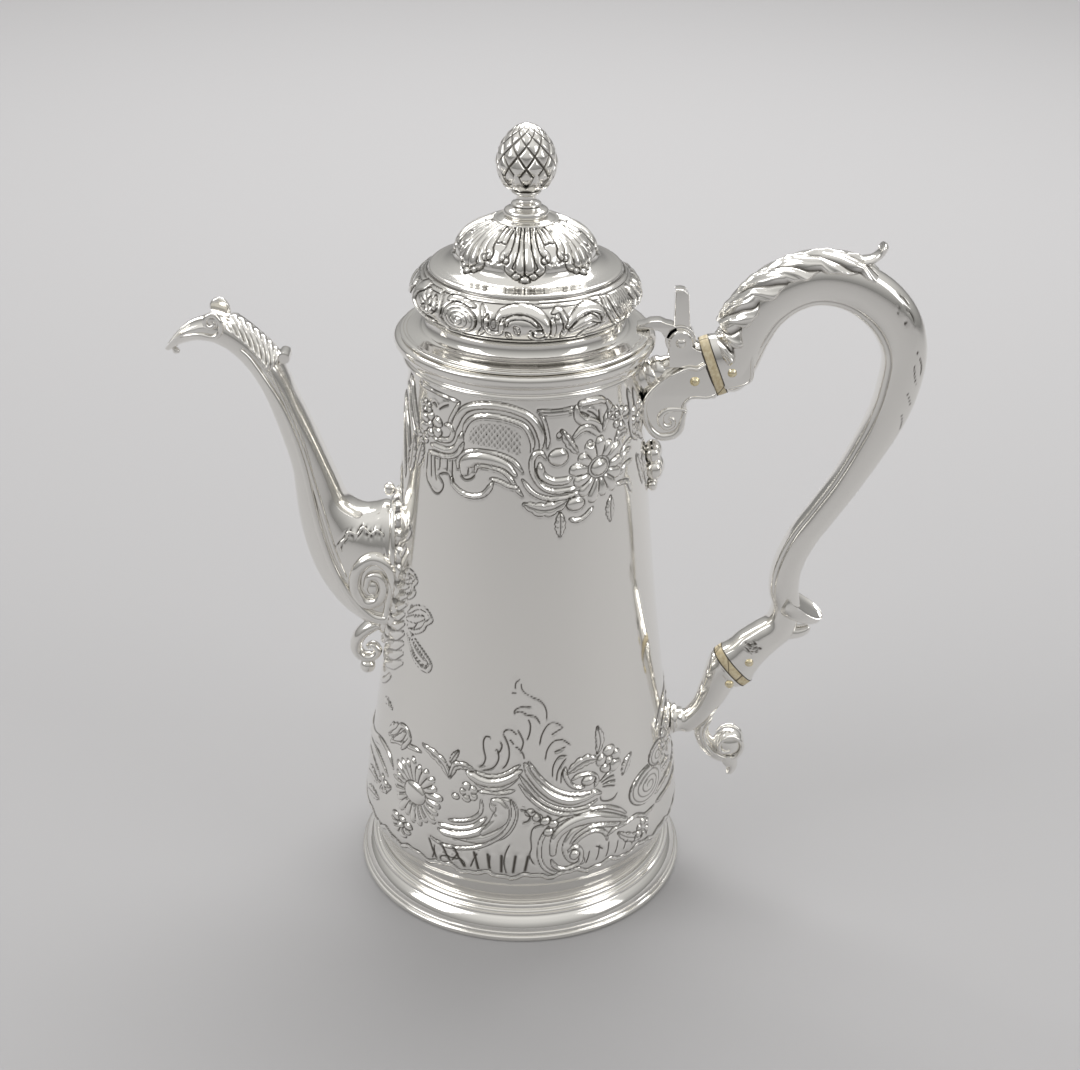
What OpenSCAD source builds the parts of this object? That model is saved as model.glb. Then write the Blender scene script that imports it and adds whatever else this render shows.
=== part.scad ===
// Footed silver coffee pot: raised tapering body with a swollen base, cast scroll
// spout, hinged domed lid with a pinecone finial, and a two-part scroll handle that
// is held off the hot body by two insulating slabs.
// Millimetres. +Z up, origin at the middle of the foot's underside, spout towards -X,
// handle towards +X. The lid turns on a pin that lies along Y.

/* [Foot] */
// Diameter across the foot
foot_d = 112.8; // [108:0.2:118]
// Height of the spread foot, up to the body's lower edge
foot_h = 10.5; // [9:0.5:13]
// Thickness of the foot's metal
foot_wall = 1.4; // [1.2:0.1:2]
// Thickness of the wire that stiffens the foot's edge
foot_wire_d = 2.2; // [1.6:0.1:2.6]

/* [Body] */
// Diameter of the body where it meets the foot
base_d = 99.2; // [97:0.2:101]
// Diameter of the swollen base at its widest
belly_d = 108; // [105:0.5:111]
// Height of that widest place above the foot
belly_h = 18.5; // [16:0.5:22]
// Diameter halfway up the swelling's shoulder
shoulder_d = 99.4; // [97:0.2:101]
// Height of that shoulder above the foot
shoulder_h = 49.5; // [46:0.5:53]
// Diameter at the plain middle
waist_d = 89; // [87:0.5:91]
// Height of the plain middle above the foot
waist_h = 89.5; // [85:0.5:94]
// Diameter at the neck
neck_d = 72.4; // [70:0.2:74]
// Height of the body from the foot to the neck moulding
body_h = 176.3; // [173:0.1:180]
// Thickness of the body's metal
body_wall = 1.1; // [0.8:0.1:1.6]
// Thickness of the let-in bottom
base_plate_t = 1.4; // [1:0.1:2]

/* [Rim] */
// Height of the moulding round the mouth
rim_h = 8.2; // [7.6:0.1:9]
// Width of that moulding outside the neck
rim_w = 4.6; // [3.8:0.1:5.2]

/* [Lid] */
// Distance of the lid's edge inside the rim's edge
flange_in = 1.8; // [1.2:0.1:2.8]
// Thickness of the flange's edge
flange_t = 1; // [0.8:0.1:1.4]
// Diameter of the upright neck below the chased band
lid_neck_d = 60; // [58:0.5:62]
// Height of the neck above the flange
lid_neck_h = 6; // [5:0.5:8]
// Diameter of the chased band at its fullest
band_d = 70.4; // [68:0.2:72]
// Height of the chased band
band_h = 13.4; // [12:0.2:15]
// Diameter where the dome springs from its skirt
dome_d = 43; // [41:0.5:46]
// Height of the dome above the band
dome_h = 15; // [13:0.5:17]
// Thickness of the lid's metal
lid_wall = 0.9; // [0.7:0.1:1.2]
// Depth of the collar that drops into the neck
bezel_h = 7; // [5:0.5:9]
// Thickness of that collar
bezel_t = 1; // [0.8:0.1:1.4]
// Gap between the collar and the neck
bezel_gap = 0.8; // [0.7:0.05:1.1]
// Gap between the closed lid and the rim
lid_gap = 0.3; // [0.3:0.05:0.5]

/* [Finial] */
// Diameter of the disc that the finial stands on
finial_disc_d = 20; // [18:0.5:22]
// Diameter of the rolled collar above the disc
finial_collar_d = 13; // [12:0.5:14]
// Diameter of the finial's narrow stem
finial_stem_d = 6; // [5.4:0.2:7]
// Diameter of the pinecone
cone_d = 17.8; // [17:0.2:20]
// Height of the pinecone
cone_h = 18; // [17:0.5:20]
// Diameter of the screw that holds the finial
screw_d = 3; // [2.4:0.1:3.4]

/* [Spout] */
// Height of the spout's root, its middle, below the top of the rim
spout_root_drop = 83.5; // [81:0.5:86]
// Thickness of the spout's metal
spout_wall = 1.2; // [1:0.1:1.4]
// Diameter of each strainer hole behind the spout
strainer_d = 3.4; // [3:0.1:4]
// Rows of strainer holes
strainer_rows = 5; // [3:1:5]
// Spacing of the strainer holes
strainer_pitch = 6; // [5.5:0.1:6.5]
// Thickness of the fluted shell on top of the spout
shell_t = 1.5; // [1:0.1:2]

/* [Handle] */
// Thickness of the handle's metal
handle_wall = 1.6; // [1.2:0.1:2]
// Thickness of each insulating slab
slab_t = 3.2; // [2.6:0.1:3.6]
// Length of the tenons on the slabs
tenon_l = 7; // [6:0.5:8]
// Thickness of the leaf that caps the handle
leaf_t = 1.9; // [1.4:0.1:2.4]
// Diameter of the rivets through the tenons
rivet_d = 2.2; // [1.8:0.1:2.6]
// Diameter of the rivets' heads
rivet_head_d = 3.2; // [3:0.1:3.6]

/* [Hinge] */
// Distance of the hinge pin outside the rim
pin_out = 7.5; // [7:0.1:8]
// Distance of the hinge pin below the top of the rim
pin_drop = 1.9; // [1.5:0.1:2.2]
// Diameter of the hinge pin
pin_d = 2.2; // [1.8:0.1:2.6]
// Diameter of the pin's heads
pin_head_d = 3.2; // [3:0.1:3.6]
// Diameter of the two fixed ears
ear_d = 7.8; // [7:0.1:8.2]
// Thickness of each ear
ear_t = 2; // [1.6:0.1:2.4]
// Diameter of the lid's knuckle
knuckle_d = 9.6; // [9:0.1:10]
// Width of the lid's knuckle
knuckle_w = 5.2; // [4.6:0.1:6]
// Height of the thumb lever above the pin
lever_h = 16.6; // [15:0.1:17]

/* [Hidden] */

silver = [0.86, 0.85, 0.82];
ivory = [0.85, 0.80, 0.66];
brass = [0.80, 0.68, 0.36];

solder_gap = 0.05;   // between pieces that are soldered face to face
seat_gap = 0.12;     // between a cast piece and the curved body that carries it
seam_gap = 0.04;     // along the seam of the two-part castings
run_gap = 0.05;      // radial clearance of the hinge pin in its bores
rivet_gap = 0.03;    // radial clearance of the rivets
screw_gap = 0.15;    // radial clearance of the finial's screw
side_gap = 0.35;     // between the knuckle and each ear
round_fn = 96;
small_fn = 32;

// ---- general functions -------------------------------------------------------

// Catmull-Rom curve through rows of numbers, with n steps in each span
function blend4(a, b, c, d, t) = 0.5 * (2 * b + (c - a) * t
    + (2 * a - 5 * b + 4 * c - d) * t * t + (3 * b - a - 3 * c + d) * t * t * t);
function curve(p, n) = let(k = len(p) - 1) concat(
    [for (i = [0:k - 1], j = [0:n - 1])
        blend4(p[max(i - 1, 0)], p[i], p[i + 1], p[min(i + 2, k)], j / n)],
    [p[k]]);
function reversed(p) = [for (i = [len(p) - 1:-1:0]) p[i]];
function unit(v) = v / norm(v);

// Outline p moved sideways by d, to the left of its direction
function beside(p, d) = [for (i = [0:len(p) - 1])
    let(t = unit(p[min(i + 1, len(p) - 1)] - p[max(i - 1, 0)])) p[i] + d * [-t[1], t[0]]];
// Closed outline of a sheet whose outer face is p and whose metal lies to its left
function sheet(p, wall) = concat(p, reversed(beside(p, wall)));

// ---- body of revolution --------------------------------------------------------

neck_z = foot_h + body_h;
rim_z = neck_z + rim_h;
rim_d = neck_d + 2 * rim_w;
flange_d = rim_d - 2 * flange_in;
// Outer profile of the body as [radius, height], from its lower edge up to the neck
body_line = curve([
    [base_d / 2, foot_h],
    [(base_d + 2 * belly_d) / 6 - 0.4, foot_h + 0.45 * belly_h],
    [belly_d / 2, foot_h + belly_h],
    [shoulder_d / 2, foot_h + shoulder_h],
    [waist_d / 2, foot_h + waist_h],
    [(waist_d + neck_d) / 4 - 0.2, (foot_h + waist_h + neck_z) / 2],
    [neck_d / 2, neck_z]], 5);
body_table = [for (p = body_line) [p[1], p[0]]];
function body_r(z) = lookup(z, body_table);
// Distance of the body's surface from the axis along X, y to one side of the middle
function body_x(y, z, gap) = sqrt(pow(body_r(z) + gap, 2) - y * y);

module spun(p) rotate_extrude($fn = round_fn) polygon(p);

// The body's outside as a solid, grown by gap, for cutting what is seated on it
module body_solid(gap) spun(concat([[0, foot_h]],
    [for (p = body_line) p + [gap, 0]], [[neck_d / 2 + gap, rim_z], [0, rim_z]]));

// ---- main forms of the body's chasing ------------------------------------------------

// Each is raised on the front and mirrored to the back. Places are [degrees round from
// the front towards the handle, height above the foot or drop below the neck].
relief_root = 0.4;   // how far a raised form reaches into the body's wall
function on_front(a, z, out) = let(r = body_r(z) + out) [r * sin(a), -r * cos(a), z];
// A place beside a point of a line that heads along d, w to its left and out proud
function beside_line(p, d, w, out) = let(r = body_r(p[1]), n = unit([-d[1], d[0] * r * PI / 180]))
    on_front(p[0] + w * n[0] / r * 180 / PI, p[1] + w * n[1], out);
function heading(line, i) = let(k = len(line) - 1,
    d = line[min(i + 1, k)] - line[max(i - 1, 0)], r = body_r(line[i][1]))
    [d[0] * r * PI / 180, d[1] * 180 / PI / r];
// A flat-backed rib of half width w and height h along a line of places
module raised_rib(line, w, h) let(k = len(line) - 1) polyhedron(
    points = [for (i = [0:k]) let(d = heading(line, i), e = i == 0 || i == k ? 0.6 : 1) each [
        beside_line(line[i], d, -w * e, -relief_root), beside_line(line[i], d, -0.5 * w * e, h * e),
        beside_line(line[i], d, 0.5 * w * e, h * e), beside_line(line[i], d, w * e, -relief_root)]],
    faces = concat([[0, 2, 1], [0, 3, 2], [4 * k, 4 * k + 1, 4 * k + 2], [4 * k, 4 * k + 2, 4 * k + 3]],
        [for (i = [0:k - 1], j = [0:3]) let(a = 4 * i + j, b = 4 * i + (j + 1) % 4)
            each [[a, b + 4, a + 4], [a, b, b + 4]]]), convexity = 4);
// A low button with half sizes rx and rz, and height h
button_n = 12;
button_steps = [[1, 0], [0.86, 0.75], [0.5, 1]];   // share of the size, share of the height
module raised_button(at, rx, rz, h) let(n = button_n, r = body_r(at[1])) polyhedron(
    points = concat(
        [for (s = button_steps, i = [0:n - 1]) let(b = 360 * i / n) on_front(
            at[0] + s[0] * rx * cos(b) / r * 180 / PI, at[1] + s[0] * rz * sin(b),
            s[1] == 0 ? -relief_root : s[1] * h)],
        [on_front(at[0], at[1], -relief_root), on_front(at[0], at[1], h)]),
    faces = concat(
        [for (i = [0:n - 1]) let(j = (i + 1) % n) each [
            [3 * n, i, j], [3 * n + 1, 2 * n + j, 2 * n + i]]],
        [for (s = [0:1], i = [0:n - 1]) let(j = (i + 1) % n) each [
            [s * n + i, (s + 1) * n + j, s * n + j], [s * n + i, (s + 1) * n + i, (s + 1) * n + j]]]),
    convexity = 2);
// Scrolls as [half width, height, line] and flowers as [place, half sizes, height]
low_scrolls = [
    [1.4, 0.9, [[-76, 41], [-66, 43.4], [-60, 42.3], [-56, 39.5]]],
    [1.5, 0.9, [[-29, 27.4], [-21, 28.4], [-14, 31.3], [-9.5, 35], [-7, 39.5], [-8.6, 42.6]]],
    [1.2, 0.9, [[0.4, 53], [-5, 49.6], [-11, 48], [-16, 48.8], [-20, 50.6]]],
    [1.2, 0.9, [[2.6, 54.6], [6, 49], [10.5, 44.6], [15.5, 41.8], [22, 40.8], [31, 41.4]]],
    [1.5, 1.1, [[12, 23.4], [12.8, 28], [16, 31.6], [22, 33.3], [30, 32.8], [41, 28]]],
    [0.9, 0.8, [[13, 18.2], [18, 16.8], [22, 20], [20.6, 24.2]]]];
low_flowers = [[[-42, 36.5], [10.2, 10.2], 0.7], [[-42, 36.5], [4.6, 3.7], 1.3],
    [[55, 35.5], [9.2, 6], 1], [[36, 51.8], [4.6, 4.3], 0.9], [[26.5, 46.7], [2.2, 1.6], 1]];
high_scrolls = [
    [1, 0.9, [[-34, 13.6], [-32.6, 9.4], [-29, 5.8], [-22, 3.3], [-12, 2.5], [-3, 3.6],
        [4.6, 6.6], [8, 11], [8.2, 15.4]]],
    [1.6, 1.1, [[-27.4, 24], [-26, 21.4], [-18, 20], [-9, 20.6], [-3.4, 24]]],
    [0.9, 0.8, [[-29.5, 13], [-31.5, 17], [-37, 19.6], [-47, 19.9]]],
    [0.9, 0.8, [[10, 18], [6, 17.4], [4.4, 21], [8.4, 27], [14, 29.3], [25, 29.2]]],
    [1, 0.8, [[26.2, 4.6], [28, 7.6], [33, 9.2], [39.4, 12]]]];
high_flowers = [[[37.2, 24.8], [9.2, 9.4], 0.8], [[37.2, 24.2], [3.4, 2.9], 1.4],
    [[16.5, 18.6], [2.9, 2.5], 1.1], [[-49, 13.4], [4.6, 3.9], 0.8]];
module chased_forms() {
    for (s = low_scrolls) raised_rib([for (p = s[2]) [p[0], foot_h + p[1]]], s[0], s[1]);
    for (s = high_scrolls) raised_rib([for (p = s[2]) [p[0], neck_z - p[1]]], s[0], s[1]);
    for (f = low_flowers) raised_button([f[0][0], foot_h + f[0][1]], f[1][0], f[1][1], f[2]);
    for (f = high_flowers) raised_button([f[0][0], neck_z - f[0][1]], f[1][0], f[1][1], f[2]);
}

module body_shell() color(silver) difference() {
    union() {
        spun(sheet(concat(body_line, [[neck_d / 2, rim_z - 0.02]]), body_wall));
        chased_forms();
        mirror([0, 1, 0]) chased_forms();
    }
    for (row = [0:strainer_rows - 1], k = [-1:1])
        translate([0, k * strainer_pitch + (row % 2 - 0.5) * strainer_pitch / 2,
                   spout_z + (row - (strainer_rows - 1) / 2) * strainer_pitch])
            rotate([0, -90, 0]) cylinder(d = strainer_d, h = belly_d, $fn = small_fn);
}

base_plate_z = foot_h + 1;
base_plate_r = body_r(base_plate_z) - body_wall - 2 * seat_gap;
module base_plate() color(silver) translate([0, 0, base_plate_z])
    cylinder(r = base_plate_r, h = base_plate_t, $fn = round_fn);

foot_top = foot_h - solder_gap;
foot_spread = (foot_d - base_d) / 2;
// A point of the foot's outside: share of the spread, then share of the height
function foot_point(u, v) = [base_d / 2 + u * foot_spread, v * foot_h];
foot_line = curve([for (p = [[1, 0], [1, 0.133], [0.926, 0.21], [0.824, 0.314],
    [0.691, 0.533], [0.382, 0.724], [0.176, 0.819]]) foot_point(p[0], p[1])], 3);
foot_edge = 2.4;     // width of the flat that the pot stands on
foot_outline = concat(foot_line, [foot_point(0.06, 0.876), [base_d / 2 + 0.1, foot_top],
    [base_d / 2 - 1.8, foot_top], foot_point(0, 0.819) - [1.8, foot_wall],
    foot_point(0.44, 0.724) - [1.8, foot_wall], foot_point(0.691, 0.438) - [foot_wall, 0],
    [foot_d / 2 - foot_edge, 0.29 * foot_h], [foot_d / 2 - foot_edge, 0]]);
module foot_ring() color(silver) spun(foot_outline);
module foot_wire() color(silver) rotate_extrude($fn = round_fn)
    translate([foot_d / 2 - foot_edge - foot_wire_d / 2 - solder_gap, foot_wire_d / 2 + 0.1])
        circle(d = foot_wire_d, $fn = small_fn);

rim_inner = neck_d / 2 + solder_gap;
// The moulding's outside as shares of its width and of its height
rim_outline = [[0.37, 0], [0.413, 0.085], [0.37, 0.171], [0.261, 0.268], [0.326, 0.415],
    [0.543, 0.549], [0.804, 0.622], [0.957, 0.707], [1, 0.817], [0.957, 0.927], [0.826, 1]];
module top_rim() color(silver) spun(concat([[rim_inner, neck_z]],
    [for (p = rim_outline) [neck_d / 2 + p[0] * rim_w, neck_z + p[1] * rim_h]],
    [[rim_inner, rim_z]]));

// ---- castings swept along a curve in the XZ plane ----------------------------------

// A station is [x, z, a, t, w, open]: its middle, the direction a of its top in
// degrees, its half height t along a, its half width w along Y, and the angle that is
// left open at its top, which is 0 except at the spout's mouth.
function at(s, t, w, b) = let(c = cos(b), e = sin(b), q = 0.85)
    [s[0] + t * sign(c) * pow(abs(c), q) * cos(s[2]), -w * pow(abs(e), q),
     s[1] + t * sign(c) * pow(abs(c), q) * sin(s[2])];
arc_n = 8;
// One half of a hollow section: out along its inner face, back along its outer face
function half_ring(s, wall) = let(k = arc_n) concat(
    [for (i = [0:k]) at(s, max(s[3] - wall, 0.3), max(s[4] - wall, 0.5),
        s[5] + (180 - s[5]) * i / k)],
    [for (i = [k:-1:0]) at(s, s[3], s[4], s[5] + (180 - s[5]) * i / k)]);
// A plate that lies on the top of a section, from angle -spread to +spread
function cap_ring(s, spread, gap, thick) = let(k = arc_n) concat(
    [for (i = [0:k]) at_full(s, gap + thick, spread * (2 * i / k - 1))],
    [for (i = [k:-1:0]) at_full(s, gap, spread * (2 * i / k - 1))]);
function at_full(s, grow, b) = let(p = at(s, s[3] + grow, s[4] + grow, abs(b)))
    b < 0 ? p : [p[0], -p[1], p[2]];

// Closed skin over a row of rings that each run out and back over 2 * (k + 1) points
function skin_faces(rows, k) = let(m = 2 * (k + 1)) concat(
    [for (r = [0:rows - 2], i = [0:m - 1]) let(j = (i + 1) % m)
        each [[r * m + i, r * m + j, (r + 1) * m + j],
              [r * m + i, (r + 1) * m + j, (r + 1) * m + i]]],
    [for (i = [0:k - 1]) each [[i, m - 1 - i, m - 2 - i], [i, m - 2 - i, i + 1]]],
    [for (i = [0:k - 1]) let(e = (rows - 1) * m)
        each [[e + i, e + m - 2 - i, e + m - 1 - i], [e + i, e + i + 1, e + m - 2 - i]]]);
module skin(rings, k = arc_n) polyhedron(
    points = [for (r = rings) each r], faces = skin_faces(len(rings), k), convexity = 8);
// Moves a ring off the seam plane, so that the two halves never share a face
function off_seam(ring) = [for (p = ring) [p[0], min(p[1], -seam_gap / 2), p[2]]];

// ---- spout --------------------------------------------------------------------

spout_z = rim_z - spout_root_drop;
spout_x = body_r(spout_z);
// Distance out from the body and up from the root, then angle, half height, half
// width and opening, from the tip of the lip down to the root
spout_plan = [
    [68.9, 76.7, 137, 1.7, 2.9, 90], [66.1, 79.9, 132, 2.9, 4.8, 90],
    [62.2, 82.9, 118, 4.3, 6.0, 90], [57.7, 84.6, 99, 5.4, 6.5, 90],
    [52.3, 83.4, 77, 5.0, 6.4, 70], [47.2, 80.3, 60, 4.6, 6.1, 0],
    [42.2, 75.7, 47, 4.7, 6.0, 0], [38.2, 70.8, 36, 5.0, 6.2, 0],
    [35.2, 65.2, 26, 5.0, 6.3, 0], [32.5, 58.2, 21, 4.9, 6.5, 0],
    [29.0, 48.7, 19, 5.4, 6.8, 0], [25.6, 38.3, 15, 6.1, 7.2, 0],
    [23.6, 30.0, 11, 7.3, 7.8, 0], [22.2, 23.9, 13, 8.2, 8.5, 0],
    [20.0, 18.2, 28, 10.2, 9.2, 0], [17.3, 12.8, 44, 13.0, 10.0, 0],
    [14.2, 8.4, 58, 16.2, 10.8, 0], [10.2, 4.2, 71, 19.6, 11.4, 0],
    [5.0, 1.2, 82, 22.4, 11.8, 0]];
spout_line = curve([for (s = spout_plan)
    [-spout_x - s[0], spout_z + s[1], s[2], s[3], s[4], s[5]]], 2);
root_t = 23.2;       // half height of the spout's root on the body
root_w = 12;         // half width of the spout's root on the body
root_station = [-spout_x, spout_z, 90, root_t, root_w, 0];
// Lays a ring on the body's surface
function on_body(ring, gap) = [for (p = ring)
    [-body_x(p[1], p[2], gap), p[1], p[2]]];
// Keeps a ring from sinking into the body
function off_body(ring, gap) = [for (p = ring)
    [min(p[0], -body_x(p[1], p[2], gap)), p[1], p[2]]];
spout_rings = concat(
    [for (s = spout_line) off_body(off_seam(half_ring(s, spout_wall)), 2 * seat_gap)],
    [on_body(off_seam(half_ring(root_station, spout_wall)), seat_gap)]);
module spout_near_half() color(silver) skin(spout_rings);
module spout_far_half() color(silver) mirror([0, 1, 0]) skin(spout_rings);

// Fluted shell over the spout behind its mouth, with a rolled knob at its lower end
shell_line = [for (i = [9:14]) spout_line[i]];
shell_foot = shell_line[len(shell_line) - 1];
shell_knob_r = 2.1;
module spout_shell() color(silver) union() {
    skin([for (i = [0:len(shell_line) - 1])
        cap_ring(shell_line[i], 75, seat_gap, shell_t * min(0.4 + 0.6 * i, 1))]);
    translate([shell_foot[0], 0, shell_foot[1]]) rotate([0, -shell_foot[2], 0])
        translate([shell_foot[3] + solder_gap + shell_knob_r, 0, 0])
            rotate([90, 0, 0]) cylinder(r = shell_knob_r, h = 5, center = true, $fn = small_fn);
}

// Raised leaf border round the root
collar_w = 2.6;      // width of that border
collar_t = 1.6;      // how far it stands off the body
collar_n = 36;
function collar_point(b, grow, out) = let(
    y = (root_w + grow) * sin(b), z = spout_z + (root_t + grow) * cos(b))
    [-body_x(y, z, out), y, z];
module spout_collar() color(silver) let(g = 1.2) polyhedron(
    points = [for (i = [0:collar_n - 1]) let(b = 360 * i / collar_n) each [
        collar_point(b, g, seat_gap), collar_point(b, g + collar_w, seat_gap),
        collar_point(b, g + collar_w, collar_t), collar_point(b, g + 0.8, collar_t)]],
    faces = [for (i = [0:collar_n - 1], j = [0:3])
        let(a = 4 * i, b = 4 * ((i + 1) % collar_n), k = (j + 1) % 4)
        each [[a + j, a + k, b + k], [a + j, b + k, b + j]]], convexity = 4);

// Scroll and ball under the root
drop_z = spout_z - root_t - collar_w - 5.2;
drop_x = -body_r(drop_z) - 5.5;
drop_r = 4.2;        // radius of the scroll
drop_ball_r = 3;     // radius of the ball
drop_w = 7;          // width of the scroll
module spout_drop() color(silver) difference() {
    union() {
        translate([drop_x, 0, drop_z]) rotate([90, 0, 0])
            cylinder(r = drop_r, h = drop_w, center = true, $fn = small_fn);
        translate([drop_x, 0, drop_z - drop_r - drop_ball_r + 1]) sphere(drop_ball_r, $fn = small_fn);
        translate([drop_x, -drop_w / 2 + 0.8, drop_z - drop_r - 1])
            cube([drop_r + 4, drop_w - 1.6, drop_r + 3]);
    }
    body_solid(seat_gap);
}

// Two curls at the back of the mouth, one on each side
lip_scroll_r = 3.1;
lip_scroll_t = 1.5;
lip_scroll_rise = 4.9;
lip_station = spout_line[8];
// The drop under the lip hangs from the lip's lower face
lip_drop_r = 1.1;
lip_drop_station = spout_line[1];
module lip_scrolls() color(silver) {
    for (side = [-1, 1])
        translate([lip_station[0] - 0.2, side * (lip_station[4] + solder_gap + lip_scroll_t / 2),
                   lip_station[1] + lip_scroll_rise])
            rotate([90, 0, 0]) cylinder(r = lip_scroll_r, h = lip_scroll_t, center = true,
                $fn = small_fn);
    translate([lip_drop_station[0], 0, lip_drop_station[1]]) rotate([0, -lip_drop_station[2], 0])
        translate([-lip_drop_station[3] - solder_gap - lip_drop_r, 0, lip_drop_r])
            sphere(lip_drop_r, $fn = small_fn);
}

// ---- hinge position -----------------------------------------------------------

pin_x = rim_d / 2 + pin_out;
pin_z = rim_z - pin_drop;
pin_bore = pin_d / 2 + run_gap;
ear_in = knuckle_w / 2 + side_gap;
ear_out = ear_in + ear_t;

// ---- handle ---------------------------------------------------------------------

// The handle's upper end, measured from the hinge pin
grip_x = pin_x + 12.3;
grip_z = pin_z - 8.4;
grip_a = 21;         // rise of the handle where it leaves the upper slab
foot_a = 41;         // rise of the handle where it meets the lower slab
// Distance from the upper end, then direction of the outer side, half height and
// half width, from the upper slab round to the lower one
handle_plan = [
    [0, 0, 111, 9.9, 6.3], [4.7, 1.8, 113, 9.9, 6.4], [8.0, 10.8, 148, 8.2, 6.6],
    [13.4, 19.6, 139, 7.8, 6.6], [21.4, 25.6, 115, 7.6, 6.4], [30.4, 27.9, 93, 7.6, 6.2],
    [40.4, 26.1, 68, 7.7, 6.2], [49.1, 20.8, 48, 7.9, 6.2], [55.2, 13.3, 28, 7.7, 6.0],
    [58.1, 3.8, 6, 7.0, 5.8], [57.2, -7.2, -8, 6.7, 5.6], [54.6, -17.2, -18, 6.2, 5.3],
    [50.0, -27.9, -26, 5.6, 5.0], [43.6, -40.5, -29, 5.0, 4.7], [37.0, -51.4, -31, 4.9, 4.5],
    [31.0, -61.2, -28, 4.9, 4.4], [27.2, -71.2, -12, 4.9, 4.4], [26.4, -79.7, 0, 5.0, 4.6],
    [27.6, -87.2, -14, 5.0, 4.8], [26.0, -94.0, -38, 5.5, 5.2], [21.7, -98.1, -45, 6.0, 5.5],
    [17.3, -102.3, -46, 6.7, 5.8], [14.3, -106.1, -48, 7.3, 6.0], [12.5, -108.7, -49, 8.3, 6.1]];
handle_line = curve([for (s = handle_plan)
    [grip_x + s[0], grip_z + s[1], s[2], s[3], s[4], 0]], 2);
handle_rings = [for (s = handle_line) off_seam(half_ring(s, handle_wall))];
handle_end = handle_line[len(handle_line) - 1];

module handle_half() difference() {
    skin(handle_rings);
    for (p = rivet_places) translate([p[0], 0, p[1]]) rotate([90, 0, 0])
        cylinder(r = rivet_d / 2 + rivet_gap, h = 40, center = true, $fn = small_fn);
}
module handle_near_half() color(silver) handle_half();
module handle_far_half() color(silver) mirror([0, 1, 0]) handle_half();

// Acanthus leaf that caps the handle's upper bow, with a thumb curl at its end
leaf_last = 12;
leaf_spread = 80;
leaf_line = [for (i = [1:leaf_last]) handle_line[i]];
leaf_tip = handle_line[leaf_last];
module handle_leaf() color(silver) union() {
    skin([for (i = [0:len(leaf_line) - 1]) let(u = i / (len(leaf_line) - 1))
        cap_ring(leaf_line[i], leaf_spread - 35 * u * u, seat_gap,
            leaf_t * (1 - 0.25 * u) + 1.2 * sin(180 * min(u * 2.2, 1)))]);
    translate([leaf_tip[0], 0, leaf_tip[1]]) rotate([0, -leaf_tip[2], 0])
        translate([leaf_tip[3] + seat_gap + 0.4, -curl_w / 2, 0]) rotate([-90, 0, 0])
            linear_extrude(curl_w) polygon(curl_outline);
}
curl_w = 5;          // width of the thumb curl
// Outline of the curl: x along the leaf's rise, y back along the leaf
curl_outline = [[0, -6], [1.6, -5], [3.4, -1.6], [5.2, 0.6], [7.2, 1.0], [7.8, 3.0],
    [6.2, 4.6], [3.6, 3.8], [1.6, 1.6], [0, 1.2]];

// Scroll ends at the handle's lower bend: a broad one and a small horn under it, each
// drawn as an outline measured from the bend
bend = handle_line[37];
bend_scroll = [[0, 8], [3.8, 7.7], [7.8, 4.6], [10.6, 2], [12.1, -0.2], [11, -2],
    [7.9, -3], [4.4, -1.9], [0, -1]];
bend_horn = [[-1.8, -4.5], [9.4, -5.3], [9.9, -6.4], [8.6, -7.4], [4, -8.3], [-1.8, -10.2]];
bend_scroll_w = 5.4;
bend_horn_w = 4;
module handle_scroll() color(silver) difference() {
    translate([bend[0], 0, bend[1]]) rotate([90, 0, 0]) union() {
        linear_extrude(bend_scroll_w, center = true) polygon(bend_scroll);
        linear_extrude(bend_horn_w, center = true) polygon(bend_horn);
    }
    skin([for (i = [31:len(handle_line) - 1]) full_ring(handle_line[i], seat_gap)],
        full_n / 2 - 1);
}
full_n = 24;
// A whole section, as a ring that runs round once
function full_ring(s, grow) = [for (i = [0:full_n - 1]) let(b = 360 * i / full_n)
    at_full(s, grow, b > 180 ? b - 360 : b)];

// ---- insulating slabs, tenons and rivets ---------------------------------------------

module section(t, w) polygon([for (i = [0:35]) let(b = 10 * i)
    [t * sign(cos(b)) * pow(abs(cos(b)), 0.85), w * sign(sin(b)) * pow(abs(sin(b)), 0.85)]]);
// Places what is drawn with x along the section's height and z away from the handle
module at_end(s, turn) translate([s[0], 0, s[1]]) rotate([0, -s[2] + turn, 0]) children();

socket_w = 12.6;     // width of both sockets
tenon_gap = 0.25;
tenon_t = 4.6;       // half height of the tenons
tenon_w = 3.6;       // half width of the tenons
slab_gap = 0.05;     // between a slab and the metal on each side of it
slab_root = 0.5;     // how far the tenons run into the slab
upper_end = handle_line[0];
// Each tenon as [rise above the slab's middle, length, half height]: those in the
// handle's ends, then those in the sockets
upper_grip_tenon = [0, tenon_l, tenon_t];
lower_grip_tenon = [-0.4, 0.86 * tenon_l, 0.73 * tenon_t];
upper_tenon = [-1.4, tenon_l, tenon_t];
lower_tenon = [0.8, 0.63 * tenon_l, 0.85 * tenon_t];
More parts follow.
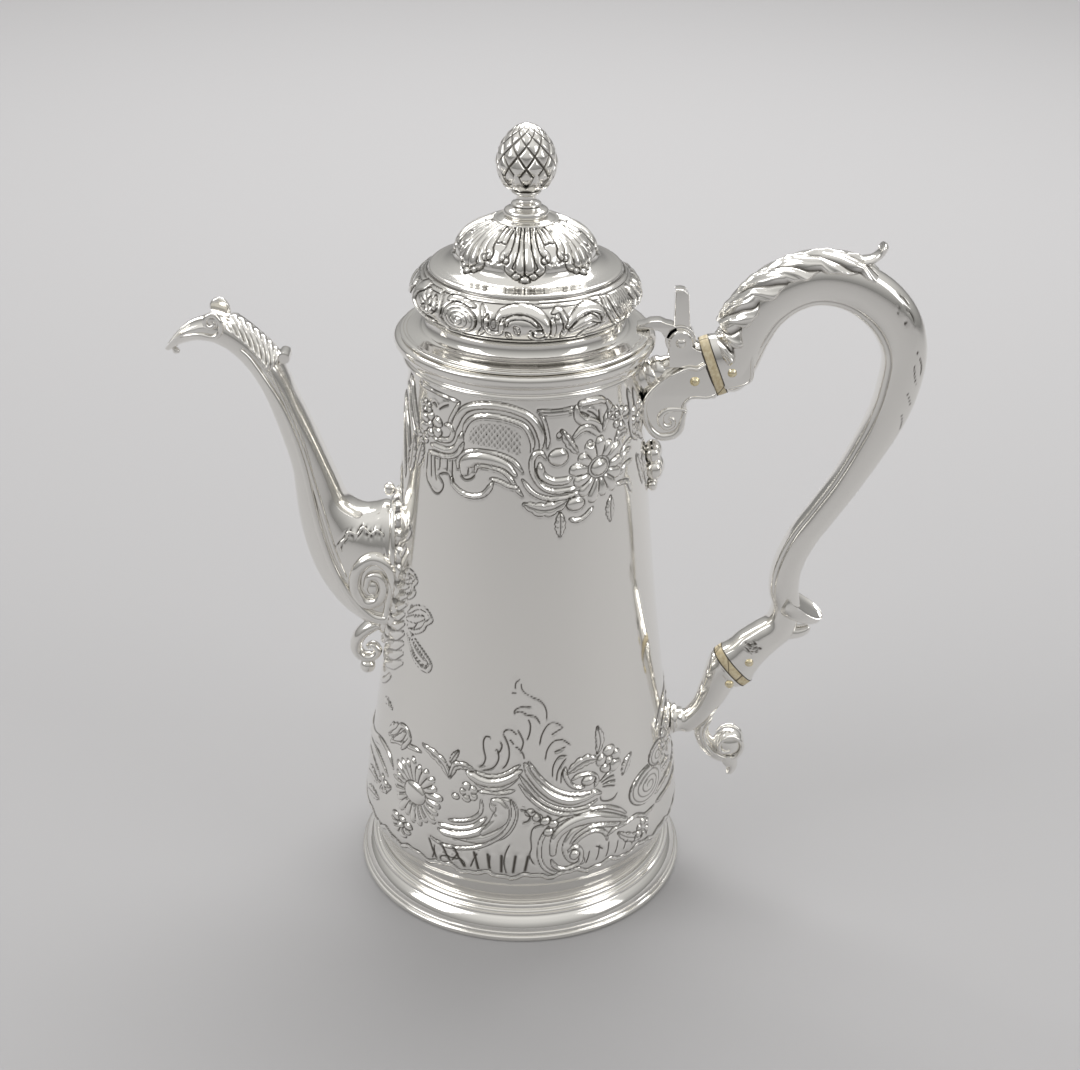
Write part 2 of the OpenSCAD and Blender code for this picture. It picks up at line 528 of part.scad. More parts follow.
// A slab with a tenon on each side; it is drawn away from the handle's end
module insulator(s, flip, grip, tenon) difference() {
    at_end(s, flip) {
        translate([0, 0, slab_gap]) linear_extrude(slab_t) section(s[3], s[4]);
        translate([grip[0], 0, -grip[1]]) linear_extrude(grip[1] + slab_gap + slab_root)
            section(grip[2], tenon_w);
        translate([tenon[0], 0, slab_gap + slab_t - slab_root])
            linear_extrude(tenon[1] + slab_root) section(tenon[2], tenon_w);
    }
    rivet_holes();
}
module rivet_holes() for (p = rivet_places) translate([p[0], 0, p[1]]) rotate([90, 0, 0])
    cylinder(r = rivet_d / 2 + rivet_gap, h = 40, center = true, $fn = small_fn);
function along(s, sense, up, dist) = [
    s[0] + up * cos(s[2]) + sense * dist * sin(s[2]),
    s[1] + up * sin(s[2]) - sense * dist * cos(s[2])];
slab_step = slab_t + 2 * slab_gap;
// The rivets: upper handle end, upper socket, lower handle end, lower socket
rivet_places = [
    along(upper_end, 1, -2.1, 3.5), along(upper_end, -1, -0.8, slab_step + 5),
    along(handle_end, -1, 0, 4.6), along(handle_end, 1, 2.6, slab_step + 2.4)];
rivet_w = [upper_end[4], socket_w / 2, handle_end[4], handle_end[4]];
module upper_insulator() color(ivory) insulator(upper_end, 0, upper_grip_tenon, upper_tenon);
module lower_insulator() color(ivory) insulator(handle_end, 180, lower_grip_tenon, lower_tenon);
module insulator_rivets() color(brass) for (i = [0:3])
    translate([rivet_places[i][0], 0, rivet_places[i][1]]) {
        rotate([90, 0, 0]) cylinder(d = rivet_d, h = 2 * rivet_w[i] + 0.8, center = true,
            $fn = small_fn);
        for (side = [-1, 1]) translate([0, side * (rivet_w[i] + 0.15), 0])
            rotate([-90 * side, 0, 0]) cylinder(d1 = rivet_head_d, d2 = 0.6 * rivet_head_d,
                h = 0.9, $fn = small_fn);
    }

// ---- sockets --------------------------------------------------------------------

module pocket(s, flip, tenon) at_end(s, flip) translate([tenon[0], 0, slab_step - 1])
    linear_extrude(tenon[1] + 1 + tenon_gap) section(tenon[2] + tenon_gap, tenon_w + tenon_gap);

// A place on the upper slab's outer face, up along it and away from it
function mouth(up, dist) = along(upper_end, -1, up, slab_step + dist);
upper_curl_r = 6;
upper_curl_drop = 29; // from the top of the rim to the middle of the curl
upper_curl_z = rim_z - upper_curl_drop;
upper_curl_x = body_r(upper_curl_z) + upper_curl_r + 0.4;
// Side outline of the upper socket: along its top to the body, then back below it
upper_socket_outline = concat([mouth(4.2, 0), mouth(3.6, 4)],
    [[pin_x - 2.5, pin_z - 5.9], [pin_x - 6.6, pin_z - 8.6], [body_r(rim_z - 17) + 0.4, rim_z - 17],
     [body_r(rim_z - 20) - 3, rim_z - 20], [body_r(upper_curl_z) - 3, upper_curl_z],
     [upper_curl_x, upper_curl_z], [pin_x + 1.6, pin_z - 18.9], [pin_x + 4.6, pin_z - 17.5]],
    [mouth(-7.9, 3), mouth(-7.7, 0)]);
module upper_socket() color(silver) difference() {
    union() {
        rotate([90, 0, 0]) linear_extrude(socket_w, center = true) polygon(upper_socket_outline);
        translate([upper_curl_x, 0, upper_curl_z]) rotate([90, 0, 0])
            cylinder(r = upper_curl_r, h = socket_w + 0.8, center = true, $fn = small_fn);
        ears();
    }
    body_solid(seat_gap);
    rim_cut();
    pocket(upper_end, 0, upper_tenon);
    rivet_holes();
    translate([pin_x, 0, pin_z]) rotate([90, 0, 0])
        cylinder(r = pin_bore, h = 40, center = true, $fn = small_fn);
}
module rim_cut() translate([0, 0, neck_z - 1]) cylinder(r = rim_d / 2 + 0.6, h = rim_h + 2,
    $fn = round_fn);
// Two ears that stand on the upper socket and back onto the slab
module ears() for (side = [-1, 1]) translate([0, side * (ear_in + ear_t / 2), 0]) {
    translate([pin_x, 0, pin_z]) rotate([90, 0, 0])
        cylinder(d = ear_d, h = ear_t, center = true, $fn = small_fn);
    rotate([90, 0, 0]) linear_extrude(ear_t, center = true) polygon([
        [pin_x - ear_d / 2, pin_z], [pin_x - ear_d / 2 + 0.6, pin_z - 8.4],
        mouth(2.5, 3), mouth(2.5, 0), mouth(7.4, 0), mouth(8.4, 1.2), [pin_x + ear_d / 2, pin_z]]);
}

// Cast bellflower of three husks on the body below the upper socket
husk_z = upper_curl_z - upper_curl_r - 3.2;
husk_step = 4.2;
husk_r = 2.9;
module upper_socket_drop() color(silver) difference() {
    for (i = [0:2]) let(z = husk_z - i * husk_step)
        translate([body_r(z) + 0.2, 0, z]) sphere(husk_r - 0.4 * i, $fn = small_fn);
    body_solid(seat_gap);
}

// A place on the lower slab's outer face
function low_mouth(up, dist) = along(handle_end, 1, up, slab_step + dist);
low_drop = 23;       // from the handle's end down to the lower socket's seat on the body
low_z = handle_end[1] - low_drop;
low_x = body_r(low_z);
low_seat_r = 6;      // radius of the lower socket's flare on the body
// Sections of the lower socket from the slab down to the body's surface
low_face = low_mouth(0, 0);
// A place between the seat and the slab, as shares of the way out and of the way up
function low_at(u, v) = [low_x + u * (low_face[0] - low_x), low_z + v * (low_face[1] - low_z)];
// Shares of the way out and up, direction, then half height and width as shares of the flare
low_neck_plan = [[0.774, 0.643, -43, 0.9, 0.833], [0.663, 0.379, -42, 0.7, 0.733],
    [0.537, 0.158, -53, 0.65, 0.7], [0.337, -0.034, -73, 0.683, 0.683],
    [0.146, -0.019, -87, 0.767, 0.767]];
lower_socket_plan = concat([
    [low_face[0], low_face[1], handle_end[2], handle_end[3] - 0.2, handle_end[4]],
    [low_face[0] - 1.2, low_face[1] - 2.6, handle_end[2], handle_end[3] - 1.1, handle_end[4] - 0.3]],
    [for (s = low_neck_plan)
        concat(low_at(s[0], s[1]), [s[2], s[3] * low_seat_r, s[4] * low_seat_r])]);
lower_socket_line = curve([for (s = lower_socket_plan) concat(s, [0])], 2);
lower_socket_seat = full_ring([low_x - 1.5, low_z, -90, low_seat_r, low_seat_r, 0], 0);
module lower_socket() color(silver) difference() {
    skin(concat([for (s = lower_socket_line) full_ring(s, 0)], [lower_socket_seat]),
        full_n / 2 - 1);
    body_solid(seat_gap);
    pocket(handle_end, 180, lower_tenon);
    rivet_holes();
}
// Curled leaf that hangs below the lower socket, with a horn at its back and a bud
// under it; the points are measured from the middle of the curl
curl_at = low_at(1.065, -0.475);
curl_r = 5.8;
curl_leaf_w = 7;
curl_leaf = concat([for (i = [0:7]) let(b = 155 - 30 * i) [curl_r * cos(b), curl_r * sin(b)]],
    [[4.2, -10.2], [2.1, -13], [0.3, -12.6], [-1, -8.3], [-3.6, -6.5], [-6.2, -3.9], [-8.4, 0.5],
     [-11, 5.1], [-11.4, 8.4], [-8.2, 10.2], [-7.8, 11.2], [-5.8, 14.6], [-4.5, 14.6],
     [-6.2, 11.6], [-7.1, 8], [-6.5, 4.6]]);
module lower_socket_scroll() color(silver) difference() {
    translate([curl_at[0], 0, curl_at[1]]) rotate([90, 0, 0])
        linear_extrude(curl_leaf_w, center = true) polygon(curl_leaf);
    skin([for (s = lower_socket_line) full_ring(s, seat_gap)], full_n / 2 - 1);
}

// ---- hinge ----------------------------------------------------------------------

module hinge_pin() color(brass) translate([pin_x, 0, pin_z]) rotate([90, 0, 0]) {
    cylinder(d = pin_d, h = 2 * ear_out + 0.4, center = true, $fn = small_fn);
    for (side = [-1, 1]) translate([0, 0, side * (ear_out + 0.1)]) rotate([side < 0 ? 180 : 0, 0, 0])
        cylinder(d1 = pin_head_d, d2 = 0.6 * pin_head_d, h = 0.9, $fn = small_fn);
}

flange_z = rim_z + lid_gap;          // underside of the lid's flange
flange_top = flange_z + flange_t;
leaf_seat = flange_top + solder_gap;
neck_r = lid_neck_d / 2;
flange_flat = flange_d / 2 - neck_r; // width of the flange outside the lid's neck
strap_l = 0.51 * flange_flat;        // how far the strap lies on the flange
// Side outline of the strap that joins the lid to the knuckle
strap_outline = [
    [flange_d / 2 - strap_l, leaf_seat + 0.3], [flange_d / 2 + 0.2, leaf_seat],
    [flange_d / 2 + 0.6, leaf_seat - 0.4], [rim_d / 2 + 1.4, flange_z + 0.2],
    [pin_x - knuckle_d / 2 + 0.6, pin_z - 0.5], [pin_x - 1, pin_z + 0.5],
    [pin_x - 1, pin_z + knuckle_d / 2 - 0.6], [pin_x - 4.6, pin_z + 5.4],
    [pin_x - 6.4, pin_z + 6.2], [pin_x - 9.4, pin_z + 6.0], [flange_d / 2 - 1.4, leaf_seat + 1.8],
    [flange_d / 2 - strap_l, leaf_seat + 1]];
lever_outline = [[pin_x - 2.2, pin_z], [pin_x - 2.2, pin_z + lever_h],
    [pin_x + 0.6, pin_z + lever_h], [pin_x + 2.2, pin_z + lever_h - 1.8],
    [pin_x + 3.1, pin_z + 3], [pin_x + 3.1, pin_z]];
module hinge_leaf() color(silver) difference() {
    union() {
        translate([pin_x, 0, pin_z]) rotate([90, 0, 0])
            cylinder(d = knuckle_d, h = knuckle_w, center = true, $fn = small_fn);
        rotate([90, 0, 0]) linear_extrude(knuckle_w, center = true) polygon(strap_outline);
        rotate([90, 0, 0]) linear_extrude(knuckle_w - 0.6, center = true) polygon(lever_outline);
    }
    translate([pin_x, 0, pin_z]) rotate([90, 0, 0])
        cylinder(r = pin_bore, h = 40, center = true, $fn = small_fn);
}

// ---- lid ------------------------------------------------------------------------

band_z = flange_top + lid_neck_h;
flange_line = [for (p = [[0.444, 0.042], [0.244, 0.15], [0.1, 0.367], [0.011, 0.633]])
    [neck_r + p[0] * flange_flat, flange_top + p[1] * lid_neck_h]];
flange_wall = concat(flange_line, [[neck_r + 0.2, band_z - solder_gap]]);
module lid_flange() color(silver) spun(concat(
    [[flange_d / 2 - 0.3, flange_z], [flange_d / 2, flange_z + 0.3],
     [flange_d / 2, flange_top - 0.3], [flange_d / 2 - 0.3, flange_top]],
    flange_wall, reversed(beside(flange_wall, lid_wall)), [[bezel_r - bezel_t, flange_z]]));

bezel_r = neck_d / 2 - body_wall - bezel_gap;
module lid_bezel() color(silver) translate([0, 0, flange_z - solder_gap - bezel_h]) difference() {
    cylinder(r = bezel_r, h = bezel_h, $fn = round_fn);
    translate([0, 0, -1]) cylinder(r = bezel_r - bezel_t, h = bezel_h + 2, $fn = round_fn);
}

dome_z = band_z + band_h;
band_top_r = dome_d / 2 + 8.4;
band_line = curve([[neck_r + 0.4, band_z], [band_d / 2 - 1.8, band_z + 2],
    [band_d / 2, band_z + 0.42 * band_h], [band_d / 2 - 1.2, band_z + 0.72 * band_h],
    [band_top_r, dome_z]], 3);
module lid_band() color(silver) spun(sheet(band_line, lid_wall));

screw_hole_r = screw_d / 2 + screw_gap;
dome_r = dome_d / 2;
spring_z = dome_z + 4.6;             // where the dome springs from its concave skirt
crown_r = finial_disc_d / 2 - 0.6;   // the flat that the finial's disc stands on
crown_z = dome_z + dome_h;
crown_a = acos(crown_r / dome_r);
dome_line = concat(
    [[band_top_r - 0.2, dome_z + solder_gap], [band_top_r, dome_z + 0.5],
     [band_top_r - 0.6, dome_z + 1], [band_top_r - 2, dome_z + 1.1], [dome_r + 3.6, dome_z + 1.8],
     [dome_r + 1.4, dome_z + 3]],
    [for (i = [0:8]) let(b = crown_a * i / 8)
        [dome_r * cos(b), spring_z + (crown_z - spring_z) * sin(b) / sin(crown_a)]],
    [[screw_hole_r, crown_z]]);
module lid_dome() color(silver) spun(sheet(dome_line, lid_wall));

// ---- finial ---------------------------------------------------------------------

disc_z = crown_z + solder_gap;
stem_z = disc_z + 4.3;
calyx_z = stem_z + 5.4;
cone_z = calyx_z + 1.9;
disc_r = finial_disc_d / 2;
collar_r = finial_collar_d / 2;
stem_r = finial_stem_d / 2;
cone_r = cone_d / 2;
module finial_disc() color(silver) spun([
    [screw_hole_r, disc_z], [disc_r, disc_z], [disc_r, disc_z + 0.5], [disc_r - 1.8, disc_z + 1],
    [collar_r, disc_z + 1.6], [collar_r + 0.4, disc_z + 2.4], [collar_r + 0.1, disc_z + 3.4],
    [collar_r - 1, disc_z + 4], [stem_r + 1, stem_z - solder_gap], [screw_hole_r, stem_z - solder_gap]]);
module finial_stem() color(silver) spun([
    [screw_hole_r, stem_z], [stem_r + 1.2, stem_z], [stem_r + 1.7, stem_z + 0.6],
    [stem_r + 1.2, stem_z + 1.2], [stem_r, stem_z + 1.8], [stem_r, stem_z + 3.6],
    [stem_r + 1.4, stem_z + 4.2], [stem_r + 1.5, stem_z + 4.8], [stem_r + 0.6, calyx_z - solder_gap],
    [screw_hole_r, calyx_z - solder_gap]]);
// The cup of sepals that the cone sits in, and the cone itself, an egg on end
cone_line = [for (i = [0:12]) let(b = -62 + 152 * i / 12, s = sin(b))
    [max(cone_r * cos(b) * (s > 0 ? 1 - 0.5 * s * s : 1), 0),
     cone_z + 0.36 * cone_h + (s > 0 ? 0.64 : 0.41) * cone_h * s]];
module finial_calyx() color(silver) spun(concat(
    [[screw_hole_r, calyx_z], [stem_r + 0.6, calyx_z]],
    [for (i = [0:3]) cone_line[i] + [0.9, -0.5]],
    reversed([for (i = [0:3]) cone_line[i] + [solder_gap, 0]]),
    [[cone_line[0][0], cone_line[0][1] - solder_gap], [screw_hole_r, cone_line[0][1] - solder_gap]]));
screw_top = cone_z + 0.45 * cone_h;
module finial_cone() color(silver) difference() {
    spun(concat([[0, cone_line[0][1]]], cone_line));
    cylinder(r = screw_hole_r, h = screw_top + 0.3, $fn = small_fn);
}
nut_t = 2.4;         // height of the nut
nut_wall = 2.2;      // metal round the nut's bore
screw_foot = crown_z - lid_wall - nut_t - 1.4;
module finial_screw() color(silver) translate([0, 0, screw_foot])
    cylinder(d = screw_d, h = screw_top - screw_foot, $fn = small_fn);
module finial_nut() color(brass) translate([0, 0, crown_z - lid_wall - nut_t - solder_gap])
    difference() {
        cylinder(r = screw_hole_r + nut_wall, h = nut_t, $fn = 6);
        translate([0, 0, -1]) cylinder(r = screw_hole_r, h = nut_t + 2, $fn = small_fn);
    }

body_shell();
base_plate();
foot_ring();
foot_wire();
top_rim();
spout_near_half();
spout_far_half();
spout_shell();
spout_collar();
spout_drop();
lip_scrolls();
upper_socket();
upper_socket_drop();
lower_socket();
lower_socket_scroll();
upper_insulator();
lower_insulator();
insulator_rivets();
handle_near_half();
handle_far_half();
handle_leaf();
handle_scroll();
hinge_pin();
lid_flange();
lid_bezel();
lid_band();
lid_dome();
hinge_leaf();
finial_disc();
finial_stem();
finial_calyx();
finial_cone();
finial_screw();
finial_nut();
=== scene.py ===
# %% [markdown]
# # A footed silver coffee pot, dressed for the studio
#
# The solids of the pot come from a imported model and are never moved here. This lesson puts
# the metalwork on them: the chased bands of the body and lid, the cast spout and handle,
# the pinecone finial, the silver, the cream slabs and the gilt pins. Every length in the
# cells is in millimetres and is made metres only when a mesh is written.

# %% Load the solids
import math

import bmesh
import bpy
import numpy as np
from mathutils import Matrix, Vector


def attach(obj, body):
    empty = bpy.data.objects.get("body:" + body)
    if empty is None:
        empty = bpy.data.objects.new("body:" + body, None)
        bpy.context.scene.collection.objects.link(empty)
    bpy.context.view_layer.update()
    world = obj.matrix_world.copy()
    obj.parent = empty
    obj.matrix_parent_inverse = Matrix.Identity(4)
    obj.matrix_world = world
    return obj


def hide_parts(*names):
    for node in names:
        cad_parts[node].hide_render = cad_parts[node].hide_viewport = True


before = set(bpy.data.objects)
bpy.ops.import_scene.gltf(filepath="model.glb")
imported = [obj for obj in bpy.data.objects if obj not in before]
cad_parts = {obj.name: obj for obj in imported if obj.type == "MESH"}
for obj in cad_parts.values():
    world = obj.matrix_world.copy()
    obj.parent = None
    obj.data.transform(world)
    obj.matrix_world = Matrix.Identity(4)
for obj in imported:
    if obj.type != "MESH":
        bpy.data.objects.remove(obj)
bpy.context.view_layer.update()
MM = 0.001

# %% [markdown]
# ## The camera
# The view looks down on the pot by about 27 degrees from a little more than half a metre.
# A camera is placed by its position and three directions: where it looks, its right and
# its up. Writing the three as a matrix keeps the slight tilt of the frame exact.

# %% Camera
IMAGE_WIDTH = 1080
FOCAL_PIXELS = 1838.3
SENSOR = 36.0
LOOK_DOWN, TILT = math.radians(27.10), math.radians(0.786)
CAMERA_AT = np.array([5.51, -538.6, 398.9]) * MM

look = np.array([0, math.cos(LOOK_DOWN), -math.sin(LOOK_DOWN)])
level_right = np.array([1.0, 0, 0])
level_up = np.array([0, math.sin(LOOK_DOWN), math.cos(LOOK_DOWN)])
right = level_right * math.cos(TILT) + level_up * math.sin(TILT)
up = level_up * math.cos(TILT) - level_right * math.sin(TILT)

camera = bpy.data.objects.new("studio_camera", bpy.data.cameras.new("studio_camera"))
bpy.context.scene.collection.objects.link(camera)
camera.data.sensor_width = SENSOR
camera.data.lens = FOCAL_PIXELS / IMAGE_WIDTH * SENSOR
camera.data.clip_start, camera.data.clip_end = 0.01, 50
turn = np.eye(4)
turn[:3, 0], turn[:3, 1], turn[:3, 2], turn[:3, 3] = right, up, -look, CAMERA_AT
camera.matrix_world = Matrix(turn.tolist())
bpy.context.scene.camera = camera
bpy.context.scene.view_settings.view_transform = "Standard"
print("lens", round(camera.data.lens, 2), "mm")

# %% [markdown]
# ## Shader arithmetic
# A procedural finish is mostly arithmetic on noise. Wiring Math nodes by hand hides the
# formula, so one small class wraps a node's output and turns Python's operators into
# nodes. Colours never pass through Math nodes, which would turn them grey.

# %% A socket that can be added and multiplied
class Wire:
    """One output socket of a material, with arithmetic."""

    def __init__(self, tree, socket):
        self.tree, self.socket = tree, socket

    def node(self, kind, out=0, settings=None, **inputs):
        """A new node with its settings, its inputs (i0 is the first) and one output kept."""
        made = self.tree.nodes.new(kind)
        for key, value in (settings or {}).items():
            setattr(made, key, value)
        for key, value in inputs.items():
            numbered = key[0] == "i" and key[1:].isdigit()
            slot = made.inputs[int(key[1:]) if numbered else key.replace("_", " ")]
            if isinstance(value, Wire):
                self.tree.links.new(value.socket, slot)
            else:
                slot.default_value = value
        return Wire(self.tree, made.outputs[out])

    def maths(self, operation, a, b):
        return self.node("ShaderNodeMath", 0, {"operation": operation}, i0=a, i1=b)

    def __add__(self, other):
        return self.maths("ADD", self, other)

    def __radd__(self, other):
        return self.maths("ADD", other, self)

    def __sub__(self, other):
        return self.maths("SUBTRACT", self, other)

    def __rsub__(self, other):
        return self.maths("SUBTRACT", other, self)

    def __mul__(self, other):
        return self.maths("MULTIPLY", self, other)

    def __rmul__(self, other):
        return self.maths("MULTIPLY", other, self)

    def noise(self, scale, detail):
        return self.node("ShaderNodeTexNoise", Vector=self, Scale=scale, Detail=detail)

    def stretched(self, x, y, z):
        return self.node("ShaderNodeMapping", Vector=self, Scale=(x, y, z))

    def between(self, low, high):
        """This value's place from low to high, held from 0 to 1."""
        settings = {"clamp": True, "interpolation_type": "SMOOTHSTEP"}
        return self.node("ShaderNodeMapRange", 0, settings, i0=self, i1=low, i2=high, i3=0.0, i4=1.0)

    def colours(self, a, b):
        """A colour from a to b, with this value as the share of b."""
        return self.node("ShaderNodeMix", 2, {"data_type": "RGBA"}, i0=self, i6=a, i7=b)


def finish(name, metallic=1.0):
    """A new material, its shader node, and the wire that carries places on the object."""
    made = bpy.data.materials.new(name)
    made.use_nodes = True
    tree = made.node_tree
    shader = tree.nodes["Principled BSDF"]
    shader.inputs["Metallic"].default_value = metallic
    return made, shader, Wire(tree, tree.nodes.new("ShaderNodeTexCoord").outputs["Object"])


def plug(shader, **inputs):
    """Links wires to the shader's sockets."""
    for name, wire in inputs.items():
        wire.tree.links.new(wire.socket, shader.inputs[name.replace("_", " ")])


print("shader helpers ready")

# %% [markdown]
# ## Polished silver
# Old polished silver is nearly a mirror with a warm tint. What makes it read as old is
# small: a faint cloudiness, hair scratches from two centuries of cloths, and a dark tone
# in the hollows, partly tarnish that no cloth reaches and partly painted shade. The hollows
# are known when a sheet is chased, so they are kept on the mesh as an attribute and the
# finish only reads it.

# %% Silver
# DARK_SILVER is the tone of the hollows: tarnish and painted shade together.
BRIGHT_SILVER, DARK_SILVER = (0.90, 0.885, 0.85, 1), (0.12, 0.11, 0.095, 1)


def silver_finish():
    made, shader, at = finish("polished_silver")
    grain, cloud = at.noise(55.0, 3.0), at.noise(14.0, 2.0)
    hairs = at.stretched(1.0, 1.0, 0.15).noise(2600.0, 2.0)
    hollow = at.node("ShaderNodeAttribute", 2, {"attribute_name": "hollow"})
    # The marked hollows are darkened and dulled, as tarnish and painted shade.
    tarnish_and_shade = (hollow * (0.75 + 0.5 * grain)).between(0.12, 0.95)
    plug(shader, Base_Color=tarnish_and_shade.colours(BRIGHT_SILVER, DARK_SILVER),
         Roughness=0.055 + 0.05 * cloud + 0.03 * grain + 0.22 * tarnish_and_shade,
         Normal=at.node("ShaderNodeBump", Strength=0.05, Distance=0.0001, Height=hairs))
    return made


silver = silver_finish()
print("silver made")

# %% [markdown]
# ## Cream slabs and gilt pins
# The slabs that keep the handle cool are ivory-coloured, with growth lines and a few
# hair cracks that have gone dark. The pins are gilt: warmer and a little softer than the
# silver round them.

# %% Cream and gilt
def cream_finish():
    made, shader, at = finish("cream_slab", 0.0)
    lines = at.stretched(900.0, 60.0, 900.0).noise(1.0, 4.0)
    cells = at.stretched(120.0, 120.0, 45.0)
    crack = at.node("ShaderNodeTexVoronoi", 0, {"feature": "DISTANCE_TO_EDGE"}, Vector=cells, Scale=1.0)
    dark = 1 - crack.between(0.006, 0.03)
    tone = lines.between(0.3, 0.7).colours((0.80, 0.71, 0.50, 1), (0.62, 0.51, 0.31, 1))
    relief = lines * 0.3 - dark
    plug(shader, Base_Color=(dark * 0.85).colours(tone, (0.10, 0.07, 0.04, 1)),
         Roughness=0.38 + 0.2 * lines,
         Normal=at.node("ShaderNodeBump", Strength=0.4, Distance=0.0002, Height=relief))
    return made


def gilt_finish():
    made, shader, at = finish("gilt_pin")
    wear = at.noise(700.0, 3.0)
    plug(shader, Base_Color=wear.between(0.35, 0.7).colours((0.84, 0.73, 0.46, 1), (0.87, 0.81, 0.64, 1)),
         Roughness=0.14 + 0.18 * wear)
    return made


FINISHES = {"silver": silver, "ivory": cream_finish(), "brass": gilt_finish()}
for name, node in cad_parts.items():
    slot = "brass" if name in ("insulator_rivets", "hinge_pin", "finial_nut") else "silver"
    slot = "ivory" if name.endswith("insulator") else slot
    node.data.materials.clear()
    node.data.materials.append(FINISHES[slot])
print("finishes on", len(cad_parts), "nodes")

# %% [markdown]
# ## From numbers to a closed mesh
# Nearly every piece here is a grid of points: rows along the piece, and points round each
# row. If rows and points both close on themselves, or the ends are capped, the mesh has
# an inside and an outside, which other programs need. The signed volume
# tells which way the faces look, so a piece can never be written inside out.

# %% Grids
def spline(points, steps):
    """A smooth line through rows of numbers, with so many steps between two of them."""
    p = np.array(points, float)
    e = np.vstack([p[:1], p, p[-1:]])
    t = (np.arange(steps) / steps)[:, None]
    spans = [0.5 * (2 * e[i + 1] + (e[i + 2] - e[i]) * t
                    + (2 * e[i] - 5 * e[i + 1] + 4 * e[i + 2] - e[i + 3]) * t * t
                    + (3 * e[i + 1] - e[i] - 3 * e[i + 2] + e[i + 3]) * t ** 3) for i in range(len(p) - 1)]
    return np.vstack(spans + [p[-1:]])


def grid_faces(rows, columns, join_rows=True):
    """The four-sided faces of a grid of points that closes round, and on itself if asked."""
    i = np.arange(rows if join_rows else rows - 1)[:, None] * columns
    j = np.arange(columns)[None, :]
    k, n = (j + 1) % columns, rows * columns
    return np.stack([i + j, i + k, (i + columns + k) % n, (i + columns + j) % n], -1).reshape(-1, 4)


def tube_faces(rows, columns):
    """The faces of a tube of rings, with its first and last ring filled in."""
    cap = [(i, i + 1, columns - 2 - i, columns - 1 - i) for i in range(columns // 2 - 1)]
    last = (rows - 1) * columns
    near = [face[::-1] for face in cap]
    far = [tuple(last + v for v in face) for face in cap]
    return np.vstack([grid_faces(rows, columns, False), near, far])


def round_axis(radius, turn, height):
    """Points about the pot's axis; a turn of 0 is the front."""
    return np.stack([radius * np.sin(turn), -radius * np.cos(turn), height + 0 * turn], -1)


def full_turn(columns, offset=0.0):
    return (np.arange(columns) + offset) / columns * 2 * math.pi


def volume(points, faces):
    total = 0.0
    for a, b in ((1, 2), (2, 3)):
        total += np.einsum("ij,ij->", points[faces[:, 0]], np.cross(points[faces[:, a]], points[faces[:, b]]))
    return total


print("grid helpers ready")

# %% Pieces
def settle(name, mesh, body, replaces=(), slot="silver", crease=38.0):
    """A mesh becomes an object with the finish of its slot, hung on its body; the parts it replaces are
    hidden.
    """
    mesh.shade_smooth()
    mesh.set_sharp_from_angle(angle=math.radians(crease))
    made = bpy.data.objects.new(name, mesh)
    bpy.context.scene.collection.objects.link(made)
    mesh.materials.clear()
    mesh.materials.append(FINISHES[slot])
    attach(made, body)
    if replaces:
        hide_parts(*replaces)
    print(name, len(mesh.polygons), "faces")


def piece(name, points, faces, body="pot", replaces=(), slot="silver", hollow=None, crease=38.0):
    """A finished mesh piece that rides on a body; points are in millimetres."""
    points = np.asarray(points, float).reshape(-1, 3)
    if volume(points, faces) < 0:
        faces = faces[:, ::-1]
    mesh = bpy.data.meshes.new(name)
    mesh.vertices.add(len(points))
    mesh.vertices.foreach_set("co", (points * MM).ravel())
    mesh.loops.add(faces.size)
    mesh.loops.foreach_set("vertex_index", faces.ravel())
    mesh.polygons.add(len(faces))
    mesh.polygons.foreach_set("loop_start", np.arange(0, faces.size, 4))
    mesh.update(calc_edges=True)
    mesh.validate()
    if hollow is not None:
        kept = mesh.attributes.new("hollow", "FLOAT", "POINT")
        kept.data.foreach_set("value", np.asarray(hollow, np.float32).ravel())
    settle(name, mesh, body, replaces, slot, crease)


print("piece helpers ready")

# %% [markdown]
# ## Turned parts
# The foot, the rim and the lid's mouldings were turned on a lathe. A profile of radius and
# height is drawn once, closed on itself, and carried round the axis. Sharp steps between
# mouldings stay sharp, because smooth shading stops where two faces meet at more than the
# crease angle.

# %% Lathe
LATHE_COLUMNS = 288


def turned(name, profile, body, replaces, columns=LATHE_COLUMNS):
    """A closed profile of (radius, height) carried round the axis."""
    profile = np.array(profile, float)
    points = round_axis(profile[:, :1], full_turn(columns), profile[:, 1:])
    piece(name, points, grid_faces(len(profile), columns), body, replaces)


def rounded(*corners):
    """A profile made of smooth stretches; each stretch is a list of points."""
    return np.vstack([spline(c, 5) if len(c) > 2 else np.array(c, float) for c in corners])


print("lathe ready")

# %% Foot, rim and flange
FOOT = rounded([(54.0, 0), (55.9, 0)], [(56.1, 0.1), (56.38, 0.6), (56.38, 1.2), (56.1, 1.7), (55.5, 1.95)],
               [(55.45, 2.2), (55.5, 2.5), (55.3, 2.95), (54.9, 3.15)],
               [(54.8, 3.4), (54.55, 4.4), (53.9, 5.6), (53.0, 6.6), (52.2, 7.3), (51.9, 8.0)],
               [(51.4, 8.15), (51.45, 8.6), (51.0, 8.95), (50.5, 9.05)],
               [(50.3, 9.2), (50.2, 9.9), (49.75, 10.4)],
               [(47.8, 10.4), (47.8, 7.2), (50.8, 6.2), (52.9, 4.6), (54, 3)])
turned("foot_moulded", FOOT, "pot", ["foot_ring"])

